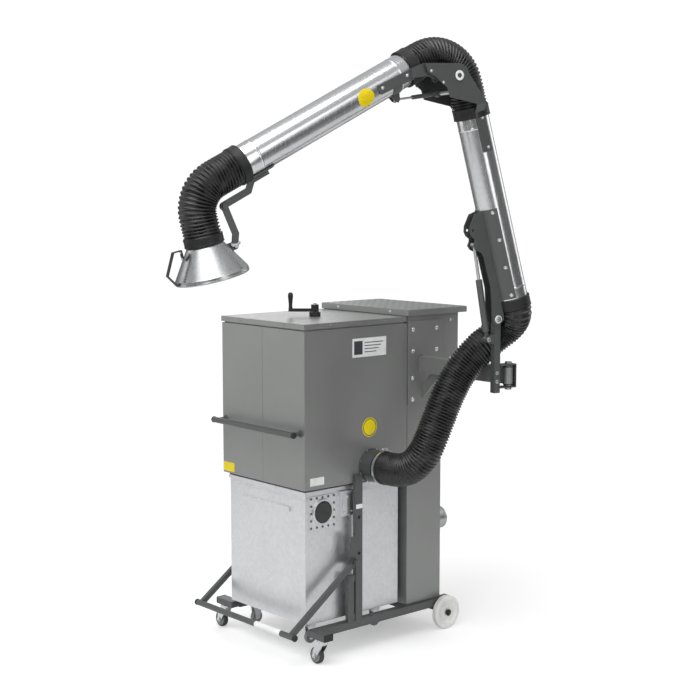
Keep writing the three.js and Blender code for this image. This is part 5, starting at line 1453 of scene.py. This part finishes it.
class BuildStage(bpy.types.Operator):
    """Pale floor, soft studio lights and the camera"""

    bl_idname = "extractor.stage"
    bl_label = "Stage"

    def execute(self, context):
        self.floor()
        for softbox in SOFTBOXES:
            self.light(*softbox)
        self.world()
        self.camera()
        context.scene.view_settings.view_transform = "Standard"
        return {"FINISHED"}

    def floor(self):
        mesh = bpy.data.meshes.new("floor")
        turns = np.linspace(0, 2 * math.pi, 97)[:-1]
        rim = [(FLOOR_RADIUS * math.cos(a), FLOOR_RADIUS * math.sin(a), 0) for a in turns]
        mesh.from_pydata(rim, [], [tuple(range(len(rim)))])
        obj = bpy.data.objects.new("floor", mesh)
        bpy.context.scene.collection.objects.link(obj)
        finish = Finish("floor_paper", Specular_IOR_Level=0.2, Emission_Color=(1, 1, 1, 1))
        seen = finish.tree.nodes.new("ShaderNodeLightPath").outputs["Is Camera Ray"]
        glow = math_node(finish.tree, "MULTIPLY", seen, FLOOR_GLOW)
        finish.tree.links.new(glow, finish.shader.inputs["Emission Strength"])
        wear = group_node(finish.tree, "Weathering", finish.coords, Scale=0.6)
        finish.colours(wear.outputs["Tone"], (0.86, 0.86, 0.86), (0.9, 0.9, 0.9))
        finish.roughness(wear.outputs["Rough"], 0.6, 0.7)
        mesh.materials.append(finish.material)

    def light(self, name, azimuth, distance, height, width, tall, power):
        """A softbox standing at that compass angle round the object, aimed at the middle of it."""
        data = bpy.data.lights.new(name, "AREA")
        data.shape = "RECTANGLE"
        data.size, data.size_y = width, tall
        data.energy = power
        obj = bpy.data.objects.new(name, data)
        angle = math.radians(azimuth)
        obj.location = (distance * math.sin(angle), -distance * math.cos(angle), height)
        aim = Vector(LIGHT_AIM) - obj.location
        obj.rotation_euler = aim.to_track_quat("-Z", "Y").to_euler()
        bpy.context.scene.collection.objects.link(obj)

    def world(self):
        """A grey room that lights and is reflected, behind a white backdrop that the camera sees."""
        world = bpy.data.worlds.new("studio")
        world.use_nodes = True
        tree = world.node_tree
        coords = tree.nodes.new("ShaderNodeTexCoord").outputs["Generated"]
        split = tree.nodes.new("ShaderNodeSeparateXYZ")
        tree.links.new(coords, split.inputs[0])
        ramp = tree.nodes.new("ShaderNodeValToRGB")
        stops = ramp.color_ramp.elements
        stops[0].position, stops[1].position = ROOM_GREYS[0][0], ROOM_GREYS[-1][0]
        for position, _ in ROOM_GREYS[1:-1]:
            stops.new(position)
        for stop, (_, grey) in zip(stops, ROOM_GREYS):
            stop.color = (grey, grey, grey, 1)
        half = math_node(tree, "MULTIPLY_ADD", split.outputs["Z"], 0.5)
        half.node.inputs[2].default_value = 0.5
        tree.links.new(half, ramp.inputs[0])
        room = tree.nodes["Background"]
        tree.links.new(ramp.outputs["Color"], room.inputs["Color"])
        room.inputs["Strength"].default_value = ROOM_STRENGTH
        backdrop = tree.nodes.new("ShaderNodeBackground")
        backdrop.inputs["Color"].default_value = (1, 1, 1, 1)
        backdrop.inputs["Strength"].default_value = BACKDROP_STRENGTH
        choose = tree.nodes.new("ShaderNodeMixShader")
        tree.links.new(tree.nodes.new("ShaderNodeLightPath").outputs["Is Camera Ray"], choose.inputs[0])
        tree.links.new(room.outputs[0], choose.inputs[1])
        tree.links.new(backdrop.outputs[0], choose.inputs[2])
        tree.links.new(choose.outputs[0], tree.nodes["World Output"].inputs["Surface"])
        bpy.context.scene.world = world

    def camera(self):
        data = bpy.data.cameras.new("camera")
        data.lens = CAMERA_LENS
        data.sensor_width = 36
        data.dof.use_dof = False
        obj = bpy.data.objects.new("camera", data)
        azimuth, pitch = math.radians(CAMERA_AZIMUTH), math.radians(CAMERA_PITCH)
        obj.location = CAMERA_PLACE
        look = -Vector((
            math.sin(azimuth) * math.cos(pitch), -math.cos(azimuth) * math.cos(pitch), math.sin(pitch),
        ))
        obj.rotation_euler = look.to_track_quat("-Z", "Y").to_euler()
        bpy.context.scene.collection.objects.link(obj)
        bpy.context.scene.camera = obj


# ------------------------------------------------------------------ add-on
OPERATORS = (
    BuildCabinet, BuildTower, BuildChassis, BuildBin, BuildLift, BuildCrank, BuildArmBase, BuildLowerArm,
    BuildUpperArm, BuildHood, BuildHoses, BuildLabels, BuildStage,
)


class ExtractorPanel(bpy.types.Panel):
    """Sizes, colours and one button for each group of pieces"""

    bl_idname = "VIEW3D_PT_extractor"
    bl_label = "Fume Extractor"
    bl_space_type = "VIEW_3D"
    bl_region_type = "UI"
    bl_category = "Extractor"

    def draw(self, context):
        layout = self.layout
        for settings in (context.scene.extractor_sizes, context.scene.extractor_colours):
            column = layout.column()
            for name in settings.__annotations__:
                column.prop(settings, name)
        column = layout.column(align=True)
        for operator in OPERATORS:
            column.operator(operator.bl_idname)


CLASSES = (ExtractorSizes, ExtractorColours, *OPERATORS, ExtractorPanel)


def register():
    for cls in CLASSES:
        bpy.utils.register_class(cls)
    bpy.types.Scene.extractor_sizes = bpy.props.PointerProperty(type=ExtractorSizes)
    bpy.types.Scene.extractor_colours = bpy.props.PointerProperty(type=ExtractorColours)


def unregister():
    del bpy.types.Scene.extractor_colours
    del bpy.types.Scene.extractor_sizes
    for cls in reversed(CLASSES):
        bpy.utils.unregister_class(cls)


def main():
    register()
    for operator in OPERATORS:
        group, name = operator.bl_idname.split(".")
        getattr(getattr(bpy.ops, group), name)()


if __name__ == "__main__":
    main()
